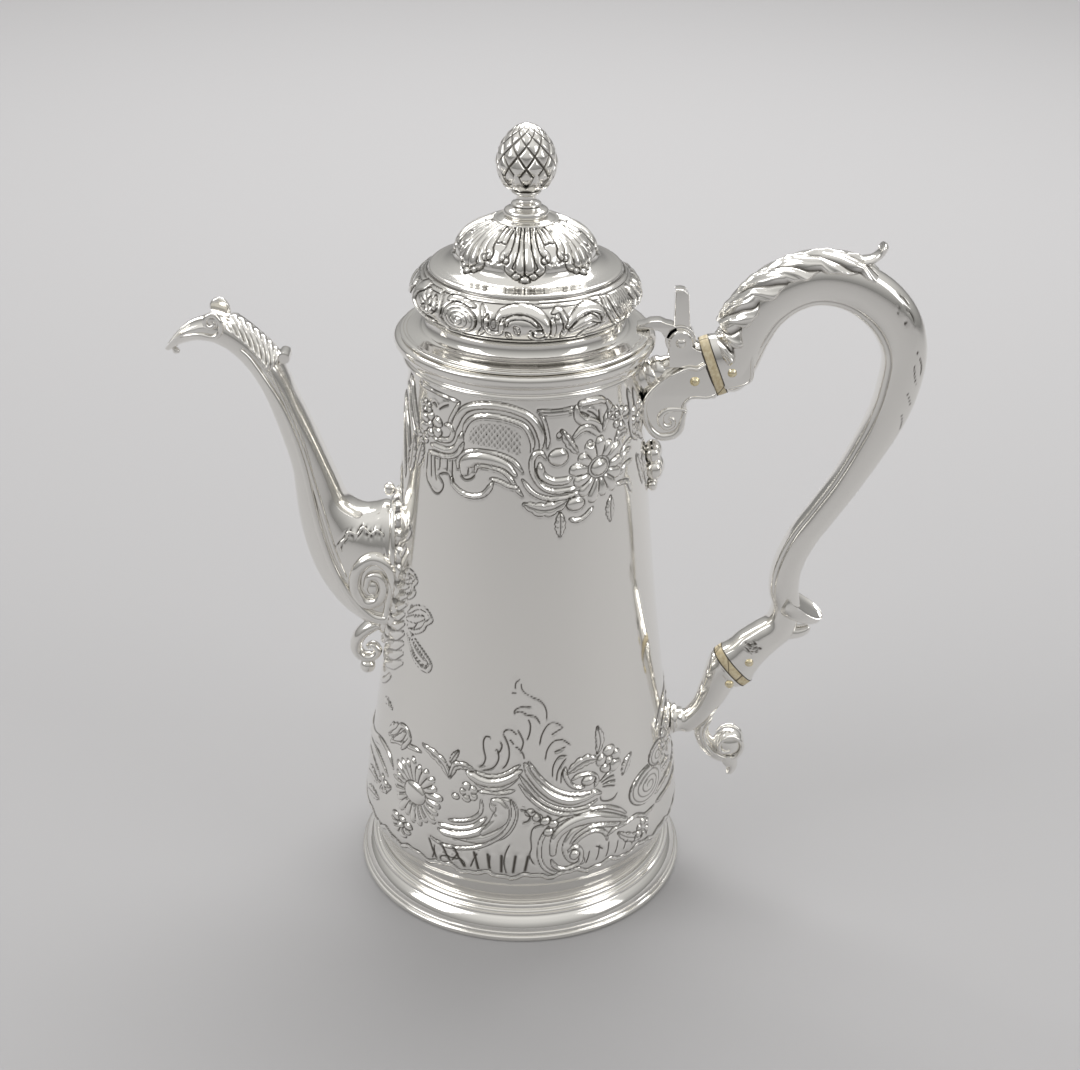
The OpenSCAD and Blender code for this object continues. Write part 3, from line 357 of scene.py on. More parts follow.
RIM_BORE = 36.25
RIM = rounded([(RIM_BORE, 186.8), (37.6, 186.8)],
              [(37.9, 187.0), (38.15, 187.5), (37.9, 188.1), (37.5, 188.5)],
              [(37.4, 188.7), (37.35, 189.5), (37.7, 190.4), (38.5, 191.1), (39.6, 191.5)],
              [(39.7, 191.7), (40.3, 192.0), (40.75, 192.8), (40.8, 193.7), (40.55, 194.5), (40.0, 194.98)],
              [(RIM_BORE, 195)])
turned("rim_moulded", RIM, "pot", ["top_rim"])

FLANGE = rounded([(33.3, 195.3), (38.6, 195.3)],
                 [(38.7, 195.35), (39.0, 195.7), (38.95, 196.1), (38.6, 196.3)],
                 [(37.9, 196.3), (37.75, 196.16), (37.6, 196.3)],
                 [(36.9, 196.3), (36.75, 196.16), (36.6, 196.3)],
                 [(34.1, 196.5), (32.9, 196.8), (32.1, 197.3)],
                 [(31.9, 197.35), (31.2, 197.8), (30.7, 198.5), (30.3, 199.5), (30.1, 200.7), (30.2, 201.6),
                  (30.6, 202.2)],
                 [(29.4, 202.25), (29.2, 200.6), (29.5, 199.0), (31.0, 196.9), (33.3, 195.8)])
turned("lid_flange_moulded", FLANGE, "lid", ["lid_flange"])

# %% [markdown]
# ## The chaser's tools
# Chased silver is pushed, not cut: the sheet is raised from behind, then its outlines are
# sunk from the front with a blunt tracer. That is how it is built here too. A sheet is a
# grid of points with a height and a hollow, and each tool changes both near a line. A bump
# map would be lighter, but it has no silhouette and doesn't catch the light at the edge of
# the form, so the metal itself is moved.

# %% A sheet of metal
def clamp(values):
    """Values held between 0 and 1."""
    return np.clip(values, 0, 1)


def traced(gap):
    """The tracer's mark, at a gap from the edge of a form."""
    return np.exp(-((gap - 0.1) / 0.27) ** 2)


class Sheet:
    """Sheet metal laid flat: across it and up it, in millimetres."""

    def __init__(self, across, up, flat=None):
        self.shape = across.shape
        self.flat = flat or (lambda places: places)
        self.u, self.y = across.ravel().astype(float), up.ravel().astype(float)
        self.x = self.flat(np.stack([self.u, self.y], -1))[:, 0]
        self.height, self.hollow = np.zeros(self.x.size), np.zeros(self.x.size)

    def near(self, x, y, rx, ry, margin):
        """The points near an oval, their distance from its middle, and that in its radii."""
        cx, cy = self.flat(np.array([[x, y]], float))[0]
        dx, dy = self.x - cx, self.y - cy
        at = np.nonzero((abs(dx) < rx + margin) & (abs(dy) < ry + margin))[0]
        dx, dy = dx[at] / rx, dy[at] / ry
        return at, dx, dy, np.hypot(dx, dy)

    def reach(self, points, margin):
        """The points near a smooth line: which, how far, how far along, and on which side."""
        line = self.flat(spline(points, 6) if len(points) > 2 else np.array(points, float))
        low, high = line.min(0) - margin, line.max(0) + margin
        inside = (self.x > low[0]) & (self.x < high[0]) & (self.y > low[1]) & (self.y < high[1])
        at = np.nonzero(inside)[0]
        p = np.stack([self.x[at], self.y[at]], -1)
        far, share, side = np.full(len(at), 1e9), np.zeros(len(at)), np.zeros(len(at))
        step = np.diff(line, axis=0)
        long = np.hypot(*step.T)
        run = np.r_[0, np.cumsum(long)]
        for k, (s, n) in enumerate(zip(step, long)):
            q = p - line[k]
            t = clamp(q @ s / max(n * n, 1e-9))
            d = np.hypot(*(q - t[:, None] * s).T)
            new = d < far
            far[new], share[new] = d[new], ((run[k] + t * n) / run[-1])[new]
            side[new] = np.sign(s[0] * q[:, 1] - s[1] * q[:, 0])[new]
        return at, far, share, side

    def lay(self, at, inside, form, edge, clear, depth=0.25):
        """Lays a form over what is there, with a sunk line round it."""
        old, mark = self.height[at], self.hollow[at]
        self.height[at] = np.where(inside, form, old * clear - depth * edge)
        # The sunk line round a form is marked as hollow, which the silver darkens as tarnish and painted
        # shade.
        self.hollow[at] = np.where(inside, 0.55 * edge, np.maximum(mark * clear, 0.95 * edge))

    def darken(self, at, mark):
        # Marks a place dark in the silver: tarnish and painted shade.
        self.hollow[at] = np.maximum(self.hollow[at], mark)

    def soften(self):
        """Takes the tool marks off: each point becomes a mean of itself and its neighbours."""
        h = self.height.reshape(self.shape).copy()
        for axis in (0, 1):
            wide = np.moveaxis(h, axis, 0)
            wide[1:-1] = 0.5 * wide[1:-1] + 0.25 * (wide[2:] + wide[:-2])
        self.height = h.ravel()


print("a sheet has points near a place, points near a line, and forms laid on it")

# %% Ribs and traced lines
def rib(sheet, points, width, height):
    """Raises a round-backed line; width is half its breadth, at places along it."""
    wide = 1.15 * np.atleast_1d(np.array(width, float)) + 0.06
    at, far, share, _ = sheet.reach(points, wide.max() + 1.2)
    w = np.interp(share, np.linspace(0, 1, len(wide)), wide)
    if len(wide) == 1:
        w = w * clamp(np.minimum(share, 1 - share) * 7 + 0.3)
    form = np.sqrt(clamp(1 - (far / w) ** 2)) * height * (w / wide.max()) ** 0.5
    sheet.lay(at, far < w, form + 0.2 * sheet.height[at], traced(far - w),
              0.3 + 0.7 * clamp((far - w) / 0.8), 0.3)


def cut(sheet, points, width=0.32, depth=0.3, step=0.22):
    """Sinks a line with the tracer; the metal on its left stands a little proud."""
    at, far, share, side = sheet.reach(points, 6 * width)
    fade = clamp(np.minimum(share, 1 - share) * 9 + 0.3)
    line = np.exp(-(far / width) ** 2) * fade
    proud = np.exp(-((far - 2.4 * width) / (1.5 * width)) ** 2) * (0.3 + 0.7 * (side > 0)) * fade
    sheet.height[at] += step * proud - depth * line
    sheet.darken(at, line)


print("ribs and cuts ready")

# %% Buttons, flowers and rolled roses
def boss(sheet, x, y, rx, ry, height):
    """Raises an oval button inside a sunk ring."""
    at, _, _, rho = sheet.near(x, y, rx, ry, 1)
    sheet.lay(at, rho < 1, height * np.sqrt(clamp(1 - rho ** 2)), traced((rho - 1) * min(rx, ry)),
              clamp((rho - 1) * 3 + 0.4), 0.3)


def flower(sheet, x, y, rx, ry, petals, height, heart, turn=0.0, ragged=0.1):
    """Petals round a heart; rx and ry reach the tips and heart is its share of them."""
    at, dx, dy, rho = sheet.near(x, y, rx, ry, 1.5)
    a = (np.arctan2(dy, dx) / (2 * math.pi) * petals + turn) % petals
    v = abs(a % 1 - 0.5) * 2
    r = rho / ((1 + ragged * np.sin(np.floor(a) * 2.4 + x)) * (1 - 0.25 * v ** 3))
    out = clamp((r - heart) / (1 - heart))
    gap = (1 - v) * rho * math.pi / petals * min(rx, ry)
    seam = np.exp(-(gap / 0.26) ** 2) * (r < 1) * (rho > 0.8 * heart)
    form = (0.35 + 0.65 * np.sin(2.2 * out)) * np.sqrt(clamp(1 - v ** 2.5)) * np.sqrt(clamp((1 - r) * 9))
    sheet.lay(at, r < 1, height * form - 0.3 * seam, traced((r - 1) * min(rx, ry)), clamp((r - 1) * 4 + 0.3))
    sheet.darken(at, seam)


def rose(sheet, x, y, rx, ry, turns, height, sense=1):
    """A flower rolled as one spiral ridge."""
    at, dx, dy, rho = sheet.near(x, y, rx, ry, 1.2)
    q = (rho * turns + np.arctan2(dy, sense * dx) / (2 * math.pi)) % 1
    wave = np.sqrt(clamp(1 - (2 * q - 1) ** 2))
    seam = np.exp(-((0.5 - abs(q - 0.5)) / 0.16) ** 2) * (rho > 0.12)
    sheet.lay(at, rho < 1, height * (0.45 * wave + 0.55 * clamp(1.1 - rho)), traced((rho - 1) * min(rx, ry)),
              clamp((rho - 1) * 4 + 0.3))
    sheet.darken(at, np.where(rho < 1, 0.8 * seam, 0))


print("buttons, flowers and roses ready")

# %% Leaves and fish scales
def leaf(sheet, points, width, height, lobes=4):
    """A lobed leaf along a line, with a sunk mid-rib and lobes that lean forward."""
    at, far, share, _ = sheet.reach(points, width + 1.0)
    lobe = abs(np.sin(math.pi * lobes * clamp(share - 0.05 * far / width))) ** 0.7
    w = width * np.sin(math.pi * np.clip(share, 0.03, 0.97)) ** 0.55 * (0.7 + 0.3 * lobe) + 0.05
    t = far / w
    vein = np.exp(-(far / 0.3) ** 2)
    form = np.sqrt(clamp(1 - t ** 3)) * (0.6 + 0.4 * lobe * clamp(t * 2)) - 0.4 * vein
    sheet.lay(at, t < 1, height * form, traced(far - w), clamp((t - 1) * 4 + 0.3))
    sheet.darken(at, np.where(t < 1, 0.8 * vein, 0))


def scales(sheet, low, high, pitch, height):
    """Covers the strip between two lines with overlapping fish scales."""
    (lx, ly), (hx, hy) = np.array(low, float).T, np.array(high, float).T
    inside = (sheet.u > max(lx[0], hx[0])) & (sheet.u < min(lx[-1], hx[-1]))
    inside &= (sheet.y > np.interp(sheet.u, lx, ly)) & (sheet.y < np.interp(sheet.u, hx, hy))
    at = np.nonzero(inside)[0]
    q, form = sheet.y[at] / (0.66 * pitch), np.zeros(len(at))
    for back in (1, 0):
        row = np.floor(q) - back
        u = (sheet.x[at] / pitch + 0.5 * (row % 2)) % 1 - 0.5
        rim = np.hypot(u * 2, (q - row) / 1.7)
        form = np.where(rim < 1, 0.3 + 0.7 * rim ** 3, form * 0.7)
    sheet.height[at] = height * form - 0.15
    # The low, overlapped part of each scale is marked dark: tarnish and painted shade.
    sheet.hollow[at] = clamp(0.9 - 1.2 * form)


def chase(sheet, ribs=(), leaves=(), cuts=()):
    """Works through lists of ribs and leaves (width, height, points), and of cuts."""
    for width, height, points in ribs:
        rib(sheet, points, width, height)
    for width, height, points in leaves:
        leaf(sheet, points, width, height)
    for points in cuts:
        cut(sheet, points)


print("leaves and scales ready")

# %% [markdown]
# ## A chased ring
# The body and the lid's band are chased sheets bent into rings. Only the half that faces
# the front is worked, from the spout round to the handle, and the back takes its mirror
# image, as the smith would turn the pattern over. The inside follows the plain profile,
# so the ring is closed and has the thickness of the metal.

# %% Rings from a profile and a chased half
INNER_ROWS = 8


def lookup(rows):
    """The radius at a height, on a smooth line through (radius, height) rows."""
    line = spline(rows, 8)
    return lambda z: np.interp(z, line[:, 1], line[:, 0])


def half_sheet(heights, columns, profile):
    """A flat sheet from the spout's side at -90 degrees round to the handle's at 90."""
    angle, z = np.meshgrid(np.linspace(-90, 90, columns // 2 + 1), heights)
    return Sheet(angle, z, lambda p: np.stack([np.radians(p[:, 0]) * profile(p[:, 1]), p[:, 1]], -1))


def chased_ring(name, sheet, rows, profile, wall, body, replaces):
    """Bends some rows of a chased half sheet and its mirror image round the axis."""
    def with_mirror(values, mirror=lambda half: half):
        half = values.reshape(sheet.shape)[rows]
        return np.hstack([half, mirror(half[:, -2:0:-1])])

    height, hollow, z = (with_mirror(values) for values in (sheet.height, sheet.hollow, sheet.y))
    turn = np.radians(with_mirror(sheet.u, lambda half: 180 - half))
    inside = np.linspace(z[-1, 0], z[0, 0], INNER_ROWS)[:, None] + 0 * turn[:1]
    r = np.vstack([profile(z) + height, profile(inside) - wall])
    marks = np.vstack([hollow, 0 * inside])
    points = round_axis(r, np.vstack([turn, turn[:INNER_ROWS]]), np.vstack([z, inside]))
    piece(name, points, grid_faces(*marks.shape), body, replaces, hollow=marks)


BODY_PROFILE = lookup([(49.6, 10.5), (52.13, 18.83), (54, 29), (49.7, 60), (44.5, 100), (40.15, 143.4),
                       (36.2, 186.8)])
print("radius at the belly", round(float(BODY_PROFILE(29)), 2))

# %% [markdown]
# ## The body and its rococo bands
# The body is one raised sheet. Its foot end and its neck carry the chasing of the 1760s:
# C-scrolls, flames of acanthus, flowers seen from the front and a panel of fish scales,
# round a plain polished middle. Each motif below is a line or a place in degrees round the
# body and millimetres up it, and later ones lie over earlier ones.

# %% The lower band's ribs
LOW_RIBS = [
    # the broad backs of the two C-scrolls, under their outlines
    ([2.0, 1.9, 1.7, 1.5, 1.3, 1.0], 0.75, [(-8, 50.6), (-4.6, 51.4), (-3, 48.8), (-3.6, 45), (-6, 41.4),
        (-10, 39.4), (-16, 38.0), (-23, 37.6)]),
    ([1.2, 1.5, 1.9, 2.0, 1.6, 0.9], 0.75, [(22, 29.0), (18.6, 31.3), (17.6, 35.1), (20, 38.8), (24, 40.8),
        (30, 41.2), (38, 39.8)]),
    # C-scrolls that run off to the spout's side
    (1.2, 0.9, [(-90, 48), (-78, 51), (-70, 53.5), (-65, 54), (-60, 53), (-56, 50)]),
    (0.7, 0.7, [(-90, 44), (-78, 47), (-70, 48.5), (-64, 47.5), (-59, 45.5)]),
    (0.5, 0.5, [(-90, 40.5), (-80, 43), (-72, 43.6), (-66, 42.5)]),
    (0.6, 0.6, [(-60, 58), (-57, 60), (-50, 61.5), (-44, 62.3), (-41, 62.3)]),
    # the big C-scroll left of the middle
    (0.45, 0.5, [(-33, 34.2), (-28, 33), (-21, 33.5), (-14, 35.5), (-8, 39), (-4, 43), (-2, 48), (-3, 53)]),
    (0.8, 0.8, [(-30, 38), (-27, 37.5), (-22, 38), (-16, 40), (-11, 43), (-8, 46)]),
    (0.6, 0.7, [(-30, 40), (-26, 40), (-21, 40.7), (-16, 42.5), (-12, 46)]),
    (0.4, 0.5, [(-26, 42.5), (-21, 43.5), (-17, 45), (-14, 48), (-14, 52)]),
    ([0.5, 1.3, 2.1, 1.6, 0.7], 0.9, [(-13, 40.5), (-8.5, 44.5), (-6, 48.5), (-7.2, 52), (-9.4, 52.3)]),
    # arms that fall from the peak to both sides
    (0.45, 0.5, [(-2, 56.5), (-6, 55.5), (-10, 55.3), (-15, 55)]),
    (0.45, 0.5, [(0, 62), (-4, 58.5), (-9, 56.5), (-14, 57), (-18, 59)]),
    (1.1, 0.9, [(0.5, 63.5), (-4, 60.5), (-9, 58.7), (-14, 58.7), (-18, 60), (-20, 61)]),
    (0.45, 0.6, [(0, 65.5), (-4, 62.9), (-8, 61.3), (-13, 61), (-17, 61.9)]),
    (0.45, 0.5, [(0, 58.5), (4, 54), (9, 50), (15, 47.3), (21, 46.8), (28, 46.8), (34, 45.6), (39, 43),
                 (42, 40.5)]),
    (0.45, 0.5, [(0, 62), (4, 57), (8.5, 52.5), (13.5, 49.8), (19, 48.3), (25, 48.2), (29.5, 49.5)]),
    (1.0, 0.9, [(2, 66), (5, 61), (9.5, 56), (14, 53), (19, 51.3), (24, 51.5), (28.5, 52.4), (31.2, 51.5)]),
    (0.5, 0.7, [(3.5, 66.5), (7, 61.5), (12, 57), (17, 54.4), (22, 53.2), (27, 53)]),
    (0.5, 0.7, [(17.3, 63.5), (17.3, 60.5), (19, 57.5), (21.5, 55.8), (24.5, 55.2)]),
    (0.5, 0.7, [(20, 58.8), (22.5, 59.8), (26, 59.7), (29, 58.5), (30, 56.5), (29, 54.5)]),
    # the big C-scroll right of the middle, with its volute
    (0.45, 0.5, [(17, 25.3), (12.5, 26), (9, 28.5), (7.4, 32), (7.3, 36), (8.2, 39.5), (11, 43), (15, 45.3),
                 (20, 46)]),
    ([0.7, 1.2, 1.5, 1.5, 1.2, 0.7], 1.2, [(12, 33.5), (12.6, 38), (15, 41.3), (19.5, 43.5), (25, 44),
        (30, 43.2), (36, 41), (41.5, 38.3)]),
    (0.6, 0.7, [(18.5, 36.5), (21, 38.8), (25, 40.4), (29, 40.5), (34, 39.2), (40, 37.3)]),
    (0.5, 0.6, [(19, 35.2), (22.5, 37.8), (27, 38.9), (30.5, 38), (32.6, 36), (32.8, 34)]),
    (0.6, 0.8, [(11.5, 31), (12.8, 28.6), (15.5, 27.2), (18.5, 27.3), (21.3, 28.6), (22.4, 31),
                (21.6, 33.6), (19.6, 34.8), (17.6, 34)]),
    (0.5, 0.6, [(33, 35.5), (37, 37), (42, 37), (47, 37.5), (52, 35.5), (58, 36)]),
    (0.8, 0.8, [(60, 40), (70, 41), (80, 41), (90, 40)]),
    (0.7, 0.7, [(60, 36.5), (70, 36.3), (80, 36.3), (90, 36)]),
    (0.6, 0.6, [(66, 62), (72, 66), (80, 68), (90, 68)]),
    (0.7, 0.8, [(68, 56), (74, 60), (82, 62), (90, 62)]),
]
print(len(LOW_RIBS), "ribs in the lower band")

# %% The lower band's leaves and traced lines
LOW_LEAVES = [
    (1.9, 0.7, [(18.5, 61.5), (22, 63.5), (26, 64.6), (30.5, 64)]),
    (1.5, 0.6, [(30.8, 66), (32.2, 70), (31.4, 74.8)]),
    (1.8, 0.7, [(42, 55), (44.5, 58.5), (46.8, 60.5)]),
    (1.7, 0.7, [(-27, 57.5), (-30, 61.5), (-34, 63.5), (-40, 65.3)]),
    (1.3, 0.6, [(-26.5, 58), (-25, 62), (-21, 63), (-17, 61.8)]),
    (0.9, 0.5, [(-27, 63), (-25.5, 65.5), (-24, 67.6)]),
    (2.2, 0.7, [(-62, 60), (-59, 63), (-55, 65), (-50.5, 66.4)]),
    (1.6, 0.7, [(52, 29), (47, 29.5), (42, 31.5), (38, 34.5)]),
    (1.6, 0.7, [(-64, 38), (-60, 40.5), (-56, 42.5)]),
    (2.0, 0.7, [(-80, 37), (-73, 39), (-66, 39.5)]),
    (1.8, 0.7, [(-64, 34), (-70, 33), (-77, 31)]),
    (1.8, 0.7, [(62, 50), (68, 52), (75, 52)]),
    (1.5, 0.6, [(64, 46), (70, 46), (77, 44.5)]),
]
LOW_CUTS = [
    # flames that rise from the arms
    [(-16, 63.5), (-14, 64.5), (-13, 67), (-13.8, 70), (-14, 73), (-13, 74.7), (-11.5, 74.5), (-11.3, 73.5)],
    [(-14.5, 62.3), (-10, 64), (-8, 67), (-8.3, 70), (-9.5, 71)],
    [(-8.6, 69), (-7.4, 70.2), (-6.8, 72), (-7.6, 73.6)],
    [(-6.8, 63.7), (-5, 65.5), (-4, 68.5), (-4.3, 72), (-6, 75.5), (-7, 76.2)],
    [(-6.5, 76.3), (-5.5, 77.5), (-3.5, 77.8), (-1, 76)],
    [(-4, 74.5), (-3, 73.6), (-2.3, 72.6)],
    [(-2, 92), (-1.8, 94), (0, 95.3)],
    [(0.3, 94), (0.6, 92), (2, 90.5), (3.6, 89.8)],
    [(-3.5, 90.3), (-2.5, 90.6), (-1.5, 90.3)],
    [(10.3, 80.8), (10.4, 83.5), (9.5, 86), (7.5, 88), (5, 89), (3.5, 90)],
    [(5, 85.4), (2, 86), (-1, 85.3), (-2.3, 84), (-1.6, 83)],
    [(8, 79.5), (6, 82.3), (3, 83), (0, 84.3), (-2, 83.5)],
    [(2.6, 74), (3.7, 76.5), (4, 79.5), (3, 81.7)],
    [(0.5, 70.5), (1.3, 73.5), (0.3, 76), (-1, 78)],
    [(1.8, 67.5), (1.2, 69.5), (-0.6, 71.5), (-2, 72)],
    [(7.5, 72), (8.5, 76), (11, 79.3), (14, 79.6), (16.8, 77.9)],
    [(12, 75.5), (14, 76.5), (17, 77.7)],
    [(9.6, 66.5), (10.5, 70.5), (13, 73.2), (16.5, 73.4), (20, 70.8)],
    [(13, 69.5), (15, 70), (18, 71)],
    [(12.3, 60.5), (12.7, 64.5), (15, 67.7), (18.4, 67.6)],
    [(13.8, 59), (14.4, 62.5), (16.3, 65.3), (18, 66.9)],
    [(15.5, 58), (15.8, 61), (17, 63.5)],
    # small curls in the middle and the scalloped edge beside the volute
    [(0, 49.9), (2.5, 49.3), (3.9, 47.5), (3.2, 45.8), (1, 45.1)],
    [(4.2, 49.3), (6.3, 48.6), (7.6, 46.8), (6.5, 45.3)],
    [(10, 47.5), (11.5, 46), (11, 45)],
    [(6, 29.5), (4.8, 31), (3.8, 33.5), (4.4, 36), (4.2, 40), (5, 43), (7.5, 44.2), (9.5, 43.6)],
    [(28, 33), (29.5, 32.2), (31, 31)],
    [(31, 55.5), (34, 57.5), (36, 58)], [(31.5, 55), (35, 56), (38, 56)], [(32, 54.2), (35, 54.6),
        (38.5, 54)],
    [(32, 53.4), (35, 53), (38, 52)],
    [(31, 50.6), (31.5, 48.7), (34, 47.8), (37, 48), (39, 49.5)],
    # hanging flutes over the hem
    [(-32, 26), (-31.4, 29), (-31, 32)], [(-22, 31), (-23, 29.5), (-24, 28)], [(-17, 27), (-16, 30),
        (-14.5, 33)],
    [(-10, 26), (-10.2, 30), (-10, 33)], [(-4, 26), (-5, 30), (-4.6, 34), (-3, 37.5)],
    [(-28, 25.5), (-28, 28.5), (-20, 29), (-19, 25.8)],
    # chasing beside the spout
    [(-56, 108.5), (-54, 110.5), (-50, 110.8), (-47, 112), (-45, 111.5)],
    [(-56, 102), (-52, 103), (-50, 105), (-48, 107.5), (-45, 108.5)],
]
for k in range(8):
    LOW_CUTS.append([(24 + 4 * k, 27.3), (25 + 4 * k, 29.5), (25.6 + 4 * k, 32 + 1.2 * math.sin(k))])
print(len(LOW_LEAVES), "leaves and", len(LOW_CUTS), "cuts in the lower band")

# %% Beside the spout's root
SIDE_RIBS = [
    # leaves and feathers beside the root of the spout
    (0.6, 0.6, [(-72, 124.5), (-70, 127.6), (-64, 130.6), (-60, 134.4), (-63, 136.4)]),
    ([0.5, 0.9, 0.6], 0.6, [(-72, 121), (-67, 124.5), (-64, 127.5)]),
    (0.5, 0.6, [(-66, 116.4), (-60, 120.6), (-55, 121.3), (-52, 119.8), (-54.6, 117.2), (-53, 115.3),
                (-57, 112.4), (-65, 110.3)]),
    ([0.4, 0.8, 0.5], 0.6, [(-66, 114.4), (-61, 116.8), (-56, 118.4)]), ([0.4, 0.8, 0.5],
        0.6, [(-66, 112.4), (-61, 113.6), (-57, 114.8)]),
    (0.45, 0.55, [(-57, 106.7), (-50, 111.1), (-44, 111.6), (-41, 109.4), (-44, 107.1), (-46, 104.5),
                  (-52, 101.7), (-56.4, 102.4)]),
    ([0.4, 1.0, 0.5], 0.5, [(-57, 104.6), (-51, 106.6), (-46, 108.6)]),
    (0.5, 0.6, [(-56, 99.4), (-53, 96.5), (-50, 93.4), (-45, 91.5), (-41, 91.7), (-40, 94.3), (-44, 96.8),
                (-49, 98.9), (-53, 100.4)]),
    ([0.4, 1.1, 0.8], 0.5, [(-53, 98.4), (-48, 95.6), (-43, 93.8)]),
    (0.7, 0.8, [(-78, 73), (-72, 76), (-67, 80)]), (0.8, 0.8, [(-70, 69), (-66, 70.5), (-62, 69.5)]),
    # the big leaf and the two long scrolls left of the large flower
    (0.55, 0.6, [(-60, 61), (-56, 64), (-53.6, 67), (-50, 67.4), (-47.6, 65), (-49, 62.4), (-52, 59)]),
    ([0.4, 0.9, 0.5], 0.6, [(-57, 60.6), (-53, 63), (-51, 65.4)])]
for k in range(10):
    SIDE_RIBS.append(([0.5, 1.0, 1.1, 0.5], 0.8, [(-78, 80 + 3.6 * k), (-71, 82.4 + 3.6 * k),
        (-65, 84.6 + 3.6 * k),
                                                 (-60 + 0.4 * abs(k - 5), 88.4 + 3.4 * k)]))
print(len(SIDE_RIBS), "ribs beside the spout")

# %% The upper band's ribs
HIGH_RIBS = [
    # the outer edge of the panel beside the arch, and the side near the spout
    (0.35, 0.4, [(-60, 184.3), (-52, 184.2), (-45, 184), (-31.5, 183.5)]),
    (0.35, 0.4, [(-31.5, 183.3), (-33, 181.5), (-35.5, 178.5), (-37, 176), (-36.5, 174.5)]),
    (0.8, 0.8, [(-74, 184), (-69, 182), (-66, 178), (-61, 172), (-59, 170)]),
    (0.6, 0.6, [(-78, 181), (-72, 178), (-68, 173), (-63, 168.5), (-60, 167)]),
    (0.9, 0.8, [(-84, 176), (-77, 172), (-71, 167), (-67, 160), (-66, 155)]),
    (0.6, 0.6, [(-90, 172), (-82, 168), (-76, 162), (-72, 155), (-71, 150)]),
    # the arch over the panel of scales
    (0.9, 0.9, [(-34.5, 172.5), (-33, 177), (-29.5, 181), (-24, 183.2), (-16, 184.2), (-8, 184), (0, 182.4),
                (4.6, 180.2), (7.4, 177.2), (8.7, 174), (8.2, 171)]),
    (0.5, 0.6, [(-29, 173.5), (-27.5, 177), (-24.5, 179.3), (-20, 180.6), (-13, 181), (-6, 180.3), (0, 178.8),
                (3, 176.2), (4.5, 173), (4, 170.3)]),
    (0.35, 0.4, [(7, 183.3), (9.5, 180.5), (11, 177), (11.7, 174), (11.3, 171.5)]),
    (0.35, 0.4, [(7, 183.3), (12, 182.8), (20, 182.8), (25, 183.4)]),
    (0.3, 0.35, [(8, 182.2), (12, 181.9), (20, 181.9), (25, 182)]),
    # under the arch: a broad C-scroll with a smooth volute, and its hem
    (0.5, 0.6, [(-31, 162.5), (-30.7, 166), (-27, 168.2), (-22, 169.2), (-15, 169.5), (-9, 168.8),
                (-4, 167.2), (0, 164)]),
    ([1.0, 1.7, 2.0, 1.6, 1.0, 0.5], 1.1, [(-27.5, 162), (-27.3, 164.6), (-23, 166.3), (-15, 167),
        (-8, 166), (-3.5, 163)]),
    (0.45, 0.6, [(-22, 162.5), (-20.8, 164.6), (-16, 165), (-10, 164.2), (-6, 162.2), (-3, 159), (0, 156.3)]),
    (0.45, 0.6, [(-14.5, 161.2), (-10, 160.6), (-6, 159.4), (-2, 159)]),
    (0.6, 0.6, [(-34, 159), (-33, 157), (-29, 155.2), (-24, 154.6), (-19, 155.3), (-16, 157), (-13.5, 160)]),
    # the C-scroll to its left, ending in a hook
    (0.6, 0.7, [(-39.5, 175), (-36.6, 175.2), (-34.6, 173.4), (-36, 171), (-40, 170), (-47, 169.6)]),
    (0.8, 0.8, [(-29.5, 174), (-31, 170.3), (-34, 168), (-39, 167), (-48, 167)]),
    (0.5, 0.6, [(-28.5, 171), (-30.5, 168), (-34, 166), (-40, 164.9), (-49, 164.6)]),
    # the C-scroll to its right
    (0.6, 0.7, [(10.4, 168.3), (8.5, 169.9), (5.8, 169.6), (4.2, 167), (5, 163), (9, 159), (14, 157.4),
                (20, 157.3), (26, 157.8)]),
    (0.9, 0.8, [(7.8, 166.5), (8.8, 163), (13, 160.8), (18, 160.3), (22.5, 160.8)]),
    (0.5, 0.5, [(0, 161.5), (4, 157.8), (9, 155.7), (15, 154.9), (22, 155.3), (27, 156.3)]),
    # over the flower
    ([0.5, 1.1, 1.2, 0.9, 0.6], 0.8, [(25.8, 183), (26.4, 180.4), (29, 178.5), (33, 177.6), (37, 176.3),
                                      (39.7, 174.2)]),
    ([0.6, 0.9, 0.9, 0.5], 0.8, [(28, 184), (33, 184), (39, 183.8), (42.5, 182.6)]),
    ([0.4, 0.9, 1.0, 0.5], 0.7, [(43.5, 182.5), (45.5, 180), (43, 177.5), (41, 174.5)]),
    ([0.4, 0.9, 0.9, 0.4], 0.7, [(24.5, 174), (28.5, 176), (33, 175.6), (38, 172.6)]),
    (0.5, 0.6, [(47, 154.8), (51, 154.6), (56, 153.6), (58.5, 150)]),
    (0.5, 0.6, [(51, 163), (54, 165.2), (58, 166.5), (62, 166.5)]),
    (0.5, 0.6, [(51, 161), (55, 163.6), (60, 163.8)]),
    (0.5, 0.6, [(51, 157.5), (54, 159.5), (60, 160)]),
    (0.7, 0.7, [(60, 183), (62, 178), (61, 173), (63, 168), (68, 165)]),
    (0.7, 0.7, [(66, 182), (68, 177), (67, 172), (70, 167), (76, 163)]),
    (0.5, 0.6, [(21.5, 147.8), (25, 147), (29, 147.8), (33, 150)]),
]
print(len(HIGH_RIBS), "ribs in the upper band")

